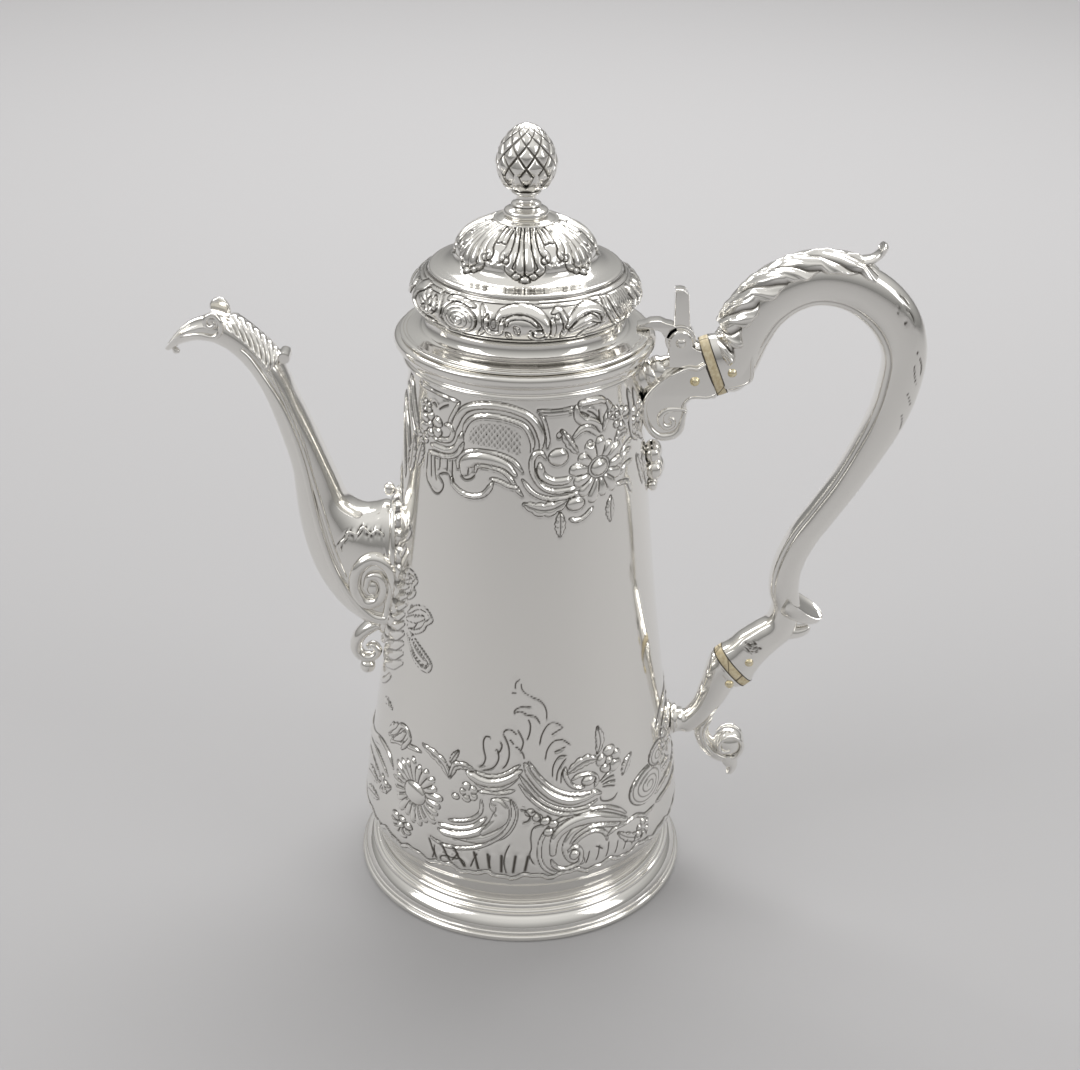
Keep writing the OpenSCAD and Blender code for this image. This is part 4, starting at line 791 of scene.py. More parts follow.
# %% The upper band's leaves and traced lines
HIGH_LEAVES = [
    (2.2, 0.7, [(20.5, 154), (14, 152), (8, 151.8), (1, 153.6)]),
    (1.6, 0.7, [(17, 150), (17, 146.5), (16.8, 142.8)]),
    (1.7, 0.7, [(43.5, 151.5), (42.8, 148), (42.8, 144)]),
    (1.3, 0.7, [(26, 168.6), (22.6, 171.5), (18.2, 176.4)]),
    (2.0, 0.7, [(-64, 154.5), (-63, 160), (-62, 166)]),
    (1.8, 0.7, [(-57, 158.5), (-56, 162), (-54, 166)]),
    (1.7, 0.7, [(48, 168), (52, 170.5), (57, 170)]),
    (1.7, 0.7, [(66, 160), (70, 155), (72, 149)]),
    (1.7, 0.7, [(74, 158), (78, 152), (80, 146)]),
    (1.6, 0.6, [(-80, 152), (-77, 147), (-73, 141)]),
]
HIGH_CUTS = [
    [(-50.5, 158), (-49.5, 155.5), (-47, 153.8), (-44, 152.3), (-41, 152.5), (-38.8, 154.5), (-39, 156.5),
     (-42, 158.5)],
    [(-42, 158.3), (-39, 159.6), (-36, 159.8), (-35, 158.5), (-34.2, 157)],
    [(-47.5, 164), (-47, 160), (-46.5, 156.5)], [(-45, 164), (-44.4, 160), (-43, 156)], [(-41.5, 164),
        (-41.4, 160.5)],
    [(-37, 164.3), (-36.8, 160.3)], [(-34, 165), (-33.8, 160), (-32.5, 157.2)], [(-50, 164), (-50.2, 158)],
    [(-29.5, 160.8), (-27, 159.6), (-24, 160.2), (-21.8, 161.8)],
    [(-49, 180), (-47, 180.6), (-45, 179.5)], [(-44, 179), (-41, 180.6), (-37.5, 181.8)],
    [(-57, 177), (-54.5, 176.2), (-52, 176.6)], [(31, 181.5), (35, 180), (39, 177)], [(28, 181.5),
        (31, 180.4), (33, 179.4)],
    [(38.2, 181), (38.2, 178.5), (39.5, 176)],
]
HIGH_PANEL_FOOT = [(-26, 171.4), (-20, 171.2), (-15, 171), (-8, 170.6), (-1, 168.8)]
HIGH_PANEL_HEAD = [(-26, 174.2), (-24, 176.4), (-20, 178.2), (-12, 178.8), (-6, 177.8), (-1, 175.6)]
print(len(HIGH_LEAVES), "leaves and", len(HIGH_CUTS), "cuts in the upper band")

# %% Chase the lower band
BODY_COLUMNS = 900
heights = np.r_[np.linspace(10.5, 23.5, 14, endpoint=False), np.linspace(23.5, 70, 138, endpoint=False),
                np.linspace(70, 138, 116, endpoint=False), np.linspace(138, 187, 144)]
coat = half_sheet(heights, BODY_COLUMNS, BODY_PROFILE)

chase(coat, LOW_RIBS, LOW_LEAVES)
boss(coat, 26.5, 57.2, 2.3, 1.6, 1.0)
boss(coat, 19.8, 32, 1.6, 1.6, 1.1)
for x, z in ((4, 48.7), (6.6, 46.9), (9.4, 45.4), (12.4, 44.0), (10.6, 41.4)):
    boss(coat, x, z, 1.5, 1.3, 0.7)
for top, foot in ((-34, -30), (-29, -24), (-24, -19), (-16, -14), (-11, -10), (-6, -6), (-1, -2), (3.4, 2)):
    cut(coat, [(top, 33.6), ((top + foot) / 2, 30), (foot, 26.2)], 0.6, 0.35, 0.25)
flower(coat, -47.5, 32.5, 5.6, 3.8, 7, 0.8, 0.3)
boss(coat, -47.5, 32.8, 1.5, 1.1, 1.2)
flower(coat, -42, 47.4, 11.0, 11.0, 21, 0.9, 0.42, ragged=0.07)
boss(coat, -42, 47, 4.7, 3.8, 1.3)
flower(coat, -19, 54, 3.2, 3.2, 5, 0.8, 0.3)
boss(coat, -24, 51.5, 1.2, 1.0, 0.6)
flower(coat, 36, 62.3, 5.0, 4.6, 5, 0.9, 0.25, turn=0.2)
boss(coat, 35.6, 62.3, 1.3, 1.3, 1.1)
rose(coat, 55, 46, 9.5, 6.2, 4, 1.2)
rose(coat, 64, 53.5, 5.5, 3.6, 2.5, 0.9, sense=-1)
flower(coat, 50, 31.6, 3.6, 3.2, 6, 0.8, 0.3)
flower(coat, 76, 54, 7.0, 6.0, 9, 0.9, 0.35)
boss(coat, 76, 54, 2.3, 2.0, 1.0)
flower(coat, -62, 41, 3.6, 3.2, 6, 0.8, 0.3)
chase(coat, cuts=LOW_CUTS)
chase(coat, SIDE_RIBS)
hem = [(x, 25.3 + 0.75 * math.sin(x * 0.42) + 0.35 * math.sin(x * 0.97)) for x in np.linspace(-92, 92, 100)]
rib(coat, hem, [0.55, 0.55], 0.55)
print("lower band raised by", round(float(coat.height.max()), 2), "mm")

# %% Chase the upper band
scales(coat, HIGH_PANEL_FOOT, HIGH_PANEL_HEAD, 1.7, 0.35)
chase(coat, HIGH_RIBS, HIGH_LEAVES)
flower(coat, -49, 173.4, 5.0, 4.2, 6, 0.8, 0.25)
boss(coat, -49, 173.4, 1.1, 1.1, 1.0)
flower(coat, -53, 178.6, 2.6, 2.0, 5, 0.6, 0.25)
flower(coat, -54, 168.5, 2.8, 2.4, 5, 0.6, 0.25)
boss(coat, 16.5, 168.2, 3.0, 2.6, 1.1)
boss(coat, 17, 175, 0.7, 0.8, -0.3)
boss(coat, 24.5, 152.4, 2.9, 2.0, 0.9)
flower(coat, 53, 175.5, 4.0, 3.8, 6, 0.8, 0.28)
flower(coat, 47.5, 178.2, 2.6, 2.2, 5, 0.7, 0.28)
flower(coat, 37.2, 162, 9.7, 9.9, 13, 1.0, 0.36, turn=0.3, ragged=0.08)
boss(coat, 37.2, 162.6, 3.9, 3.3, 0.75)
boss(coat, 37.2, 162.6, 3.0, 2.5, 1.4)
boss(coat, 32.6, 171, 0.9, 0.8, -0.3)
flower(coat, 70, 172, 5.5, 5.5, 9, 0.8, 0.3)
boss(coat, 70, 172, 1.8, 1.8, 1.0)
chase(coat, cuts=HIGH_CUTS)
coat.height = np.clip(coat.height, -0.5, 1.6)
coat.soften()
print("both bands raised by", round(float(coat.height.max()), 2), "mm")

# %% Close the body into rings
BODY_WALL = 1.1
BANDS = [("body_hem", 10.5, 23.5), ("body_low_scrolls", 23.5, 46), ("body_low_flames", 46, 70),
         ("body_plain_low", 70, 104), ("body_plain_high", 104, 138), ("body_high_scrolls", 138, 162),
         ("body_high_panel", 162, 187)]
for name, *limits in BANDS:
    first, last = (int(np.argmin(abs(heights - z))) for z in limits)
    chased_ring(name, coat, slice(first, last + 1), BODY_PROFILE, BODY_WALL, "pot", ["body_shell"])
neck = [(36.2, 186.8), (36.2, 194.98), (35.1, 194.98), (35.1, 186.8)]
turned("body_neck", neck, "pot", ["body_shell"])

# %% [markdown]
# ## The lid's chased band
# The band is an ogee with a fat roll, chased like the body: a rolled rose, a broad C-scroll
# in front, curling leaves, a frame line and a panel of scales. It is worked from the front
# and mirrored to the back.

# %% The lid band's motifs
LID_RIBS = [
    (0.3, 0.35, [(-92, 214.9), (-45, 214.9), (0, 215), (45, 214.9), (92, 214.9)]),
    (0.25, 0.3, [(-92, 214.1), (-62, 214.1), (-48, 214.2)]),
    (0.25, 0.3, [(4, 214.2), (20, 214.2), (45, 214.2)]),
    (0.35, 0.4, [(45.5, 214.1), (44.7, 211.5), (47, 208.5), (51, 206), (56, 204.6)]),
    (0.3, 0.35, [(50, 214), (50.5, 211), (53, 208.4), (58, 206)]),
    (0.35, 0.35, [(-92, 203.9), (-50, 204), (0, 203.8), (50, 204), (92, 203.9)]),
    # scrolls at the spout's side
    (0.8, 0.8, [(-64, 214.4), (-71, 212.4), (-72, 208.8), (-67, 206), (-58, 205.2), (-50, 205.6)]),
    (0.5, 0.6, [(-49, 214), (-46.5, 211), (-45.5, 207.5), (-41, 205)]),
    (0.8, 0.8, [(-90, 207), (-84, 209.5), (-80, 212.8)]),
    # round the rose
    (0.5, 0.6, [(-22.5, 213.8), (-20, 211), (-20, 207.5), (-23, 205.2)]),
    (0.45, 0.5, [(-44, 213.4), (-39, 214), (-33, 213.8), (-26, 213.2)]),
    (0.5, 0.6, [(-18, 211.5), (-18.6, 208.5), (-16, 206.6), (-11.5, 207), (-11, 211)]),
    # the broad scroll in front
    ([0.5, 1.0, 1.2, 1.2, 1.1, 0.8], 1.0, [(-13, 210.6), (-11.4, 212.3), (-5, 213.2), (3, 213),
        (8.6, 211.3), (11, 208.6), (10, 206)]),
    (0.4, 0.5, [(-8.5, 209), (-7.5, 211), (-2, 211.7), (3.5, 210.9), (6.8, 208.9)]),
    (0.5, 0.6, [(3.2, 207.6), (3.6, 205.8), (7, 205), (11, 205.2)]),
    (0.5, 0.6, [(13.6, 205.2), (14.4, 208), (13.8, 211)]),
    (0.6, 0.7, [(14.2, 212.6), (17.4, 213), (19.8, 211.4), (20.5, 208), (18.4, 205.2)]),
    # curling leaves on the right
    ([0.5, 1.0, 1.1, 0.8, 0.5], 0.9, [(21.5, 208.6), (25, 211), (31, 212.7), (37, 212.6), (41.4, 211),
                                      (41.6, 208.6)]),
    ([0.4, 0.9, 0.9, 0.4], 0.8, [(23, 207.3), (28, 208.9), (34, 210), (38, 208.7)]),
    (0.35, 0.4, [(28, 204.2), (31, 206), (36, 206.6), (40, 207.6)]),
    (0.8, 0.9, [(69, 213.4), (70.5, 210.5), (68, 207.4)]),
    (0.8, 0.9, [(76, 213), (78, 210), (76, 206.8)]),
    (0.8, 0.9, [(83, 213), (85.5, 210), (84, 207)]),
]
print(len(LID_RIBS), "ribs on the lid's band")

# %% Lid band
LID_WALL = 0.9
BAND_PROFILE = lookup([(30.4, 202.3), (33.4, 204.3), (35.2, 207.93), (34.0, 211.95), (29.9, 215.7)])
band = half_sheet(np.linspace(202.3, 215.7, 52), 640, BAND_PROFILE)
scales(band, [(53, 208.6), (58, 206.8), (66, 206.4)], [(53, 214.2), (58, 214.4), (66, 214.2)], 1.25, 0.3)
chase(band, LID_RIBS)
flower(band, -57.5, 210.2, 3.8, 3.3, 7, 0.7, 0.28)
boss(band, -51, 211, 1.1, 1.8, 0.8)
rose(band, -33.5, 209.2, 5.9, 4.0, 3.6, 1.1)
boss(band, -14.8, 209.3, 0.7, 1.1, -0.3)
boss(band, 7.2, 206.6, 1.6, 1.2, 1.0)
boss(band, 16.8, 211.6, 0.7, 0.8, -0.3)
leaf(band, [(-8.5, 207), (-7.3, 205.8), (-7, 204.6)], 0.7, 0.4, 2)
leaf(band, [(-4.5, 208.9), (-3.4, 208), (-2.6, 206.6)], 0.8, 0.4, 2)
band.height = np.clip(band.height, -0.35, 1.2)
chased_ring("lid_band_chased", band, slice(None), BAND_PROFILE, LID_WALL, "lid", ["lid_band"])

# %% [markdown]
# ## The dome and its seven leaves
# The dome is chased with seven fluted leaves that hang from the finial's disc, with a short
# tongue between each two. One seventh is worked flat, with the distance from the disc as its
# length, and the same seventh is then laid seven times round the axis.

# %% The dome's line and one flat leaf
LEAVES_ROUND = 7
SECTOR_COLUMNS = 96
CROWN_R, CROWN_Z, DOME_R, SPRING_Z, SKIRT_Z = 9.4, 230.7, 21.5, 220.3, 215.75
crown_angle = math.acos(CROWN_R / DOME_R)
arc = [(DOME_R * math.cos(b), SPRING_Z + (CROWN_Z - SPRING_Z) * math.sin(b) / math.sin(crown_angle))
       for b in np.linspace(crown_angle, 0, 14)]
skirt = [(22.3, 218.9), (24.9, 217.5), (27.6, 216.95), (29.2, 216.75), (29.75, 216.35), (29.7, SKIRT_Z)]
dome_line = spline([(2.2, CROWN_Z), (6, CROWN_Z)] + arc + skirt, 12)
run = np.r_[0, np.cumsum(np.hypot(*np.diff(dome_line, axis=0).T))]
crown_run = run[np.argmin(abs(dome_line[:, 0] - CROWN_R) + (dome_line[:, 1] < 229) * 99)]
dome_s = np.r_[np.linspace(0, crown_run, 6, endpoint=False),
               np.linspace(crown_run, crown_run + 20.5, 78, endpoint=False),
               np.linspace(crown_run + 20.5, run[-1], 22)]
dome_r, dome_z = (np.interp(dome_s, run, dome_line[:, k]) for k in (0, 1))
half_sector = math.pi / LEAVES_ROUND
sector = np.linspace(-half_sector, half_sector, SECTOR_COLUMNS, endpoint=False)
dome = Sheet(dome_r[:, None] * sector, (dome_s - crown_run)[:, None] + 0 * sector)


def seam(s, gap):
    """A place that far from the line where two leaves meet."""
    return float(np.interp(s, dome_s - crown_run, dome_r)) * half_sector - gap, s


DOME_RIBS = [
    ([0.75, 0.95, 1.15, 1.2], 0.85, [(0.8, 0.8), (0.9, 6), (1.3, 12), (1.5, 16.4)]),
    ([0.6, 0.8, 0.95, 0.9, 0.8], 0.75,
     [(2.2, 0.8), (2.7, 5), (3.3, 10), (4.4, 13.6), (5.0, 15.6), (4.0, 16.6)]),
    ([0.45, 0.65, 0.75, 0.7], 0.6, [(3.6, 3.5), (4.3, 7), (5.2, 10), (6.4, 11.6), (6.7, 12.8), (5.8, 13.2)])]
TONGUE = [seam(1.5, 0.75), seam(4, 0.75), seam(7, 0.75)]
TONGUE_END = [(seam(12, 2.6)[0], 11.6), (seam(13, 2.9)[0], 13.2), (seam(14, 0.9)[0], 14.4)]
for side in (-1, 1):
    for width, height, line in DOME_RIBS:
        rib(dome, [(side * x, s) for x, s in line], width, height)
    boss(dome, side * 2.5, 17.6, 1.15, 0.9, 0.65)
    rib(dome, [(side * x, s) for x, s in TONGUE], [0.35, 0.55, 0.6], 0.45)
    cut(dome, [(side * x, s) for x, s in TONGUE_END], 0.3, 0.3)
boss(dome, 0, 18.6, 1.4, 1.1, 0.8)
dome.height = np.clip(dome.height, -0.3, 0.95)
print("one leaf of", LEAVES_ROUND, "worked flat")

# %% Dome
height, hollow = (np.tile(values.reshape(dome.shape), (1, LEAVES_ROUND))
                  for values in (dome.height, dome.hollow))
turn = np.hstack([sector + k * 2 * half_sector for k in range(LEAVES_ROUND)])[None, :]
along_r, along_z = np.gradient(np.stack([dome_r, dome_z]), axis=1)
long = np.hypot(along_r, along_z)
along_r, along_z = (along_r / long)[:, None], (along_z / long)[:, None]
dome_r, dome_z = dome_r[:, None] + 0 * turn, dome_z[:, None] + 0 * turn
back = slice(len(dome_s) - 1, None, -6)
r = np.vstack([dome_r - along_z * height, (dome_r + along_z * LID_WALL)[back]])
z = np.vstack([dome_z + along_r * height, (dome_z - along_r * LID_WALL)[back]])
marks = np.vstack([hollow, 0 * dome_r[back]])
piece("lid_dome_chased", round_axis(r, turn, z), grid_faces(*marks.shape), "lid", ["lid_dome"], hollow=marks)

# %% [markdown]
# ## The spout
# The spout was cast in two halves and soldered. Its sections are ovals set square to a
# curved line, from the hawk's-beak lip down to the wide root. It is swept the same way
# here. The scalloped edge of its root is raised on the tube itself. The ridges and the
# volute are bars bent in side view and laid on both cheeks, as they lie on the casting.

# %% Sweep helpers
def unit(v):
    return v / np.maximum(np.linalg.norm(v, axis=-1, keepdims=True), 1e-9)


def squared(wave):
    """A sine or cosine made a little fuller at its corners."""
    return np.sign(wave) * abs(wave) ** 0.85


def section(stations, angle, grow=0.0):
    """Points of ovals; a station is x, z, direction of its top, half height, half width."""
    s = np.asarray(stations, float)[:, None, :]
    a = np.radians(s[..., 2])
    rise, wide = (s[..., 3] + grow) * squared(np.cos(angle)), (s[..., 4] + grow) * squared(np.sin(angle))
    return np.stack([s[..., 0] + rise * np.cos(a), wide + 0 * rise, s[..., 1] + rise * np.sin(a)], -1)


def frame_along(line):
    """Directions across and out of a line that barely twists."""
    along = unit(np.gradient(line, axis=0))
    out = np.zeros_like(line)
    guide = np.array([0, 1.0, 0]) if abs(along[0][1]) < 0.9 else np.array([1.0, 0, 0])
    for k, t in enumerate(along):
        guide = unit(guide - t * (guide @ t))
        out[k] = guide
    return np.cross(along, out), out


def bar(line, radius, steps=6, sides=12, flat=1.0):
    """Points and faces of a round bar along a smooth line; radii are at places along it."""
    line = spline(line, steps) if steps else np.array(line, float)
    radius = np.interp(np.linspace(0, 1, len(line)), np.linspace(0, 1, len(radius)), radius)[:, None, None]
    across, out = (way[:, None] for way in frame_along(line))
    b = full_turn(sides)[:, None]
    points = line[:, None] + radius * (across * np.cos(b) + flat * out * np.sin(b))
    return points.reshape(-1, 3), tube_faces(len(line), sides)


def ball(centre, radius, stretch=1.0, rows=12, columns=24):
    """Points and faces of a ball or a bud, closed at its poles by tiny rings."""
    up = np.linspace(-math.pi / 2 + 0.02, math.pi / 2 - 0.02, rows)[:, None]
    round_ = full_turn(columns)[None, :]
    points = np.stack([radius * np.cos(up) * np.cos(round_), radius * np.cos(up) * np.sin(round_),
                       radius * stretch * np.sin(up) + 0 * round_], -1)
    return (points + centre).reshape(-1, 3), tube_faces(rows, columns)


def together(name, parts, sides=(1,), **more):
    """One piece from several meshes, and with sides (1, -1) from their mirror images too."""
    points, faces, start = [], [], 0
    for p, f in parts:
        for side in sides:
            q = p * [1, side, 1]
            points.append(q)
            faces.append((f if volume(q, f) > 0 else f[:, ::-1]) + start)
            start += len(q)
    piece(name, np.vstack(points), np.vstack(faces), **more)


BOTH = (1, -1)
print("sweep helpers ready")

# %% Spout plan
SPOUT_X, SPOUT_Z = 43.257, 111.5
SPOUT_PLAN = [  # out from the body, up from the root, direction, half height, half width, opening
    (68.9, 76.7, 137, 1.7, 2.9, 90), (66.1, 79.9, 132, 2.9, 4.8, 90), (62.2, 82.9, 118, 4.3, 6.0, 90),
    (57.7, 84.6, 99, 5.4, 6.5, 90), (52.3, 83.4, 77, 5.0, 6.4, 70), (47.2, 80.3, 60, 4.6, 6.1, 0),
    (42.2, 75.7, 47, 4.7, 6.0, 0), (38.2, 70.8, 36, 5.0, 6.2, 0), (35.2, 65.2, 26, 5.0, 6.3, 0),
    (32.5, 58.2, 21, 4.9, 6.5, 0), (29.0, 48.7, 19, 5.4, 6.8, 0), (25.6, 38.3, 15, 6.1, 7.2, 0),
    (23.6, 30.0, 11, 7.3, 7.8, 0), (22.2, 23.9, 13, 8.2, 8.5, 0), (20.0, 18.2, 28, 10.2, 9.2, 0),
    (17.3, 12.8, 44, 13.0, 10.0, 0), (14.2, 8.4, 58, 16.2, 10.8, 0), (10.2, 4.2, 71, 19.6, 11.4, 0),
    (5.0, 1.2, 82, 22.4, 11.8, 0), (0.6, 0.1, 88, 23.1, 12.0, 0)]
OUTER_RIDGE = [(-88, 189.3), (-84.3, 185), (-75.8, 169.6), (-70.4, 152.4), (-67.1, 134.5), (-62.9, 118.8),
               (-57.4, 106.6), (-51.1, 98.6), (-46.3, 96.6)]
VOLUTE = [(-42.9, 98.2), (-41.3, 104), (-41.3, 110.5), (-43.7, 117.4), (-48.8, 119.8), (-53.6, 115.7),
          (-54.6, 109), (-51.8, 103.6), (-47.2, 104.4), (-45, 109.2), (-46.6, 113.6), (-49.9, 113.2),
          (-51, 109.6)]
SECOND_RIDGE = [(-79.6, 183.6), (-72.2, 163.4), (-65.9, 140.0), (-61.2, 122.0), (-57.6, 112.5)]
SCALLOPS = [(-58.8, 121.5), (-59.4, 124), (-57.4, 126.2), (-56.4, 128.2), (-53.6, 127.4), (-51.8, 129.6),
            (-49.4, 127.6), (-47.2, 128.8), (-45.2, 127.2)]
spout_plan = np.array(SPOUT_PLAN, float)
spout_plan[:, 0], spout_plan[:, 1] = -SPOUT_X - spout_plan[:, 0], SPOUT_Z + spout_plan[:, 1]
print(len(spout_plan), "sections from lip to root")

# %% Spout tube
SPOUT_COLUMNS = 88
SPOUT_WALL = 1.2
tube_stations = spline(spout_plan[4:], 12)[6:]
b = full_turn(SPOUT_COLUMNS, 0.5)
outer = section(tube_stations, b)
spout = Sheet(outer[..., 0], outer[..., 2])
rib(spout, SCALLOPS, 0.35, 0.4)
cut(spout, [(-45, 122), (-44.6, 118), (-44, 114)], 0.3, 0.25)
facing = unit(np.cross(np.roll(outer, -1, 1) - np.roll(outer, 1, 1), np.gradient(outer, axis=0)))
facing *= np.sign(facing[:, 0, 0].sum())
cheek = clamp(abs(facing[..., 1]) * 1.6)
tube = outer + facing * (spout.height.reshape(cheek.shape) * cheek)[..., None]
inner = section(tube_stations[::-4], b, -SPOUT_WALL)
marks = np.vstack([spout.hollow.reshape(cheek.shape) * cheek, np.zeros(inner.shape[:2])])
points = np.vstack([tube, inner])
body_gap = np.sqrt((BODY_PROFILE(points[..., 2]) + 0.15) ** 2 - points[..., 1] ** 2)
points[..., 0] = np.minimum(points[..., 0], -body_gap)
piece("spout_tube", points, grid_faces(*marks.shape), "pot", ["spout_near_half", "spout_far_half"],
      hollow=marks, crease=50)


# %% Ridges and volute
def on_cheek(line, rise=0.0):
    """A smooth side-view line laid on the near cheek of the tube."""
    line = spline(line, 6)
    side = outer[:, outer[0, :, 1] < 0].reshape(-1, 3)
    gap = np.hypot(side[None, :, 0] - line[:, None, 0], side[None, :, 2] - line[:, None, 1])
    near = np.argsort(gap, axis=1)[:, :6]
    share = 1 / (np.take_along_axis(gap, near, 1) + 0.3) ** 2
    y = (share * side[near, 1]).sum(1) / share.sum(1)
    y = np.convolve(np.r_[[y[0]] * 4, y, [y[-1]] * 4], np.ones(9) / 9, "valid")
    return np.c_[line[:, 0], y - rise, line[:, 1]]


BESIDE_RIDGE = [(x + 2.6 - 0.25 * k, z + 0.4) for k, (x, z) in enumerate(OUTER_RIDGE[:-2])]
outer_radii = [0.8, 1.0, 1.2, 1.5, 1.8, 2.1, 2.2, 2.2, 2.1, 1.9, 1.6, 1.1]
eye_points, eye_faces = ball((0, 0, 0), 2.3, 1.0, 16, 28)
eye_place = on_cheek([(-49.4, 109), (-48.4, 109)], 0.2)[3]
together("spout_ridges", [
    bar(on_cheek(OUTER_RIDGE + VOLUTE, 0.5), outer_radii, 0, 16),
    bar(on_cheek(SECOND_RIDGE, 0.2), [0.4, 0.7, 0.9, 0.8, 0.4], 0),
    bar(on_cheek(BESIDE_RIDGE), [0.3, 0.45, 0.5, 0.5, 0.3], 0, 10),
    bar(on_cheek(SCALLOPS), [0.35, 0.5, 0.5, 0.35], 0, 10),
    (eye_points * [0.85, 0.55, 1.15] + eye_place, eye_faces)], BOTH)
edge = outer[-1, outer[-1, :, 1] < 0]
edge = edge[np.argsort(edge[:, 2])][::3]
edge = np.vstack([edge[0] * [1, 0, 1], edge, edge[-1] * [1, 0, 1]])
edge[:, 0] = -np.sqrt((BODY_PROFILE(edge[:, 2]) + 1.1) ** 2 - edge[:, 1] ** 2)
together("spout_root_collar", [bar(edge, [1.5, 1.7, 1.7, 1.5], 3, 14)], BOTH)

# %% Lip
def open_shell(name, stations, first, last, wall, lift, replaces, columns, hollow=None, crease=38.0):
    """A plate that follows part of a swept section, from angle first to last at each station."""
    share = np.linspace(0, 1, columns)
    angle = np.radians(first[:, None] + (last - first)[:, None] * share)
    out = section(stations, angle)
    out = out + unit(out - section(stations, angle, -1.0)) * lift[..., None]
    points = np.concatenate([out, section(stations, angle[:, ::-1], -wall)], 1)
    piece(name, points, tube_faces(len(stations), 2 * columns), "pot", replaces, hollow=hollow, crease=crease)


lip = spline(spout_plan[:6], 10)[:47]
opening = np.maximum(lip[:, 5], 4)
open_shell("spout_lip", lip, opening, 360 - opening, 1.1, np.zeros((len(lip), 40)), ["spout_near_half"], 40)

LIP_EDGE = [(-111.3, -0.6, 188.4), (-108.6, -3.6, 191.2), (-104.8, -5.6, 193.4), (-100.2, -6.5, 194.2),
            (-96.2, -6.8, 193.6), (-93.8, -7.0, 195.4), (-93.6, -7.1, 198.4), (-95.2, -7.1, 200.8),
            (-97.3, -7.1, 200.6), (-98.4, -7.1, 198.6), (-97.2, -7.1, 196.9), (-95.6, -7.1, 197.7),
            (-96.0, -7.1, 199.0)]
curl_eye = [(-96, y, 198.9) for y in (-5.6, -6.4, -6.9, -7.3)]
together("lip_scrolled_edge", [bar(LIP_EDGE, [0.5, 0.75, 0.8, 0.85, 0.9, 0.85, 0.8, 0.75, 0.6]),
                               bar(curl_eye, [2.6, 2.6, 2.2, 0.6], 3, 24)], BOTH, replaces=["lip_scrolls"])
piece("lip_drop", *bar([(-110.0, 0, 187.6), (-109.3, 0, 186.6), (-108.2, 0, 186.3)], [0.7, 1.15, 0.5], 5, 16))

# %% Fluted shell
shell = spline(spout_plan[4:9], 24)[12:76]
u, v = np.linspace(0, 1, len(shell))[:, None], np.linspace(-1, 1, 65)[None, :]
flute = abs(np.sin(math.pi * 7.5 * (u - 0.42 * abs(v) ** 1.2) + 0.6)) ** 0.75
ridge = np.exp(-(v / 0.09) ** 2) + np.exp(-((abs(v) - 0.97) / 0.06) ** 2)
rise = 0.5 + 0.85 * flute * (1 - 0.5 * ridge) + 0.8 * clamp(ridge)
rise *= clamp(np.minimum(u * 9, (1 - u) * 9) + 0.35)
reach = 62 + 16 * u[:, 0] + 2.5 * abs(np.sin(math.pi * 7 * u[:, 0]))
# The valleys of the flutes are marked dark: tarnish and painted shade.
marks = np.hstack([clamp(1 - 1.6 * flute) * (1 - clamp(ridge)), 0 * flute])
open_shell("spout_fluted_shell", shell, -reach, reach, 0.0, rise, ["spout_shell"], 65, marks, 60)
end_x, end_z, end_turn, end_half = shell[-1, :4]
out = end_half + 1.9
knob_x = end_x + out * math.cos(math.radians(end_turn))
knob_z = end_z + out * math.sin(math.radians(end_turn))
roll = [(knob_x, y, knob_z) for y in (-3.2, -3.0, -1.5, 0, 1.5, 3.0, 3.2)]
piece("shell_rolled_knob", *bar(roll, [0.9, 1.9, 2.0, 2.0, 2.0, 1.9, 0.9], 3, 20))

# %% [markdown]
# ## The leaf border and the drop at the spout's root
# The casting's root is hidden by a chased border of leaves, with a plain fillet inside it.
# Below hangs a small scroll that ends in a ball.

# %% Root border
ROOT_T, ROOT_W, BORDER = 23.2, 12.0, 4.4
BORDER_COLUMNS, BORDER_ROWS = 360, 14


def on_body(y, z, out):
    """Points over the body's wall on the spout's side."""
    return np.stack([-np.sqrt((BODY_PROFILE(z) + out) ** 2 - y ** 2), y, z], -1)


b, w = full_turn(BORDER_COLUMNS)[:, None], np.linspace(0, 1, BORDER_ROWS)[None, :]
lobe = abs(np.sin(13 * b + 0.5)) ** 0.6
wide = 1.0 + BORDER * (0.62 + 0.38 * lobe) * w
y, z = (ROOT_W + wide) * np.sin(b), SPOUT_Z + (ROOT_T + wide) * np.cos(b)
veins = 0.5 + 0.5 * np.cos(26 * (b + 0.03 * w) * 3)
swell = np.sin(math.pi * clamp((w - 0.2) / 0.8)) ** 0.7 * (0.55 + 0.3 * lobe + 0.25 * veins * (w > 0.3))
proud = np.where(w < 0.22, 1.25, 0.35 + 1.0 * swell)
proud[:, 0] = proud[:, -1] = -0.1
points = np.concatenate([on_body(y, z, proud), on_body(y[:, ::-1], z[:, ::-1], -0.3)], 1)
# The gaps between the lobes are marked dark: tarnish and painted shade.
marks = np.hstack([clamp(1.15 - lobe - 0.3 * veins) * (w > 0.28), 0 * proud])
piece("spout_leaf_border", points, grid_faces(*marks.shape), "pot", ["spout_collar"], hollow=marks, crease=50)

# %% Root scroll, ball and bud
stem = [(-48.2, 0, 89.5), (-51.5, 0, 88), (-55, 0, 84.5), (-56.3, 0, 80), (-54.4, 0, 76.6), (-51, 0, 76.2),
        (-49, 0, 78.6), (-50.6, 0, 80.8), (-52.6, 0, 80)]
stem_radii = [2.2, 2.4, 2.3, 2.1, 1.9, 1.7, 1.5, 1.3, 0.9]
piece("spout_root_scroll", *bar(stem, stem_radii, 6, 20, 1.45), "pot", ["spout_drop"])
piece("spout_root_ball", *ball((-52.7, 0, 72.6), 2.7))
piece("spout_root_bud", *ball((-43.6, 0, 139.4), 1.9, 1.25))

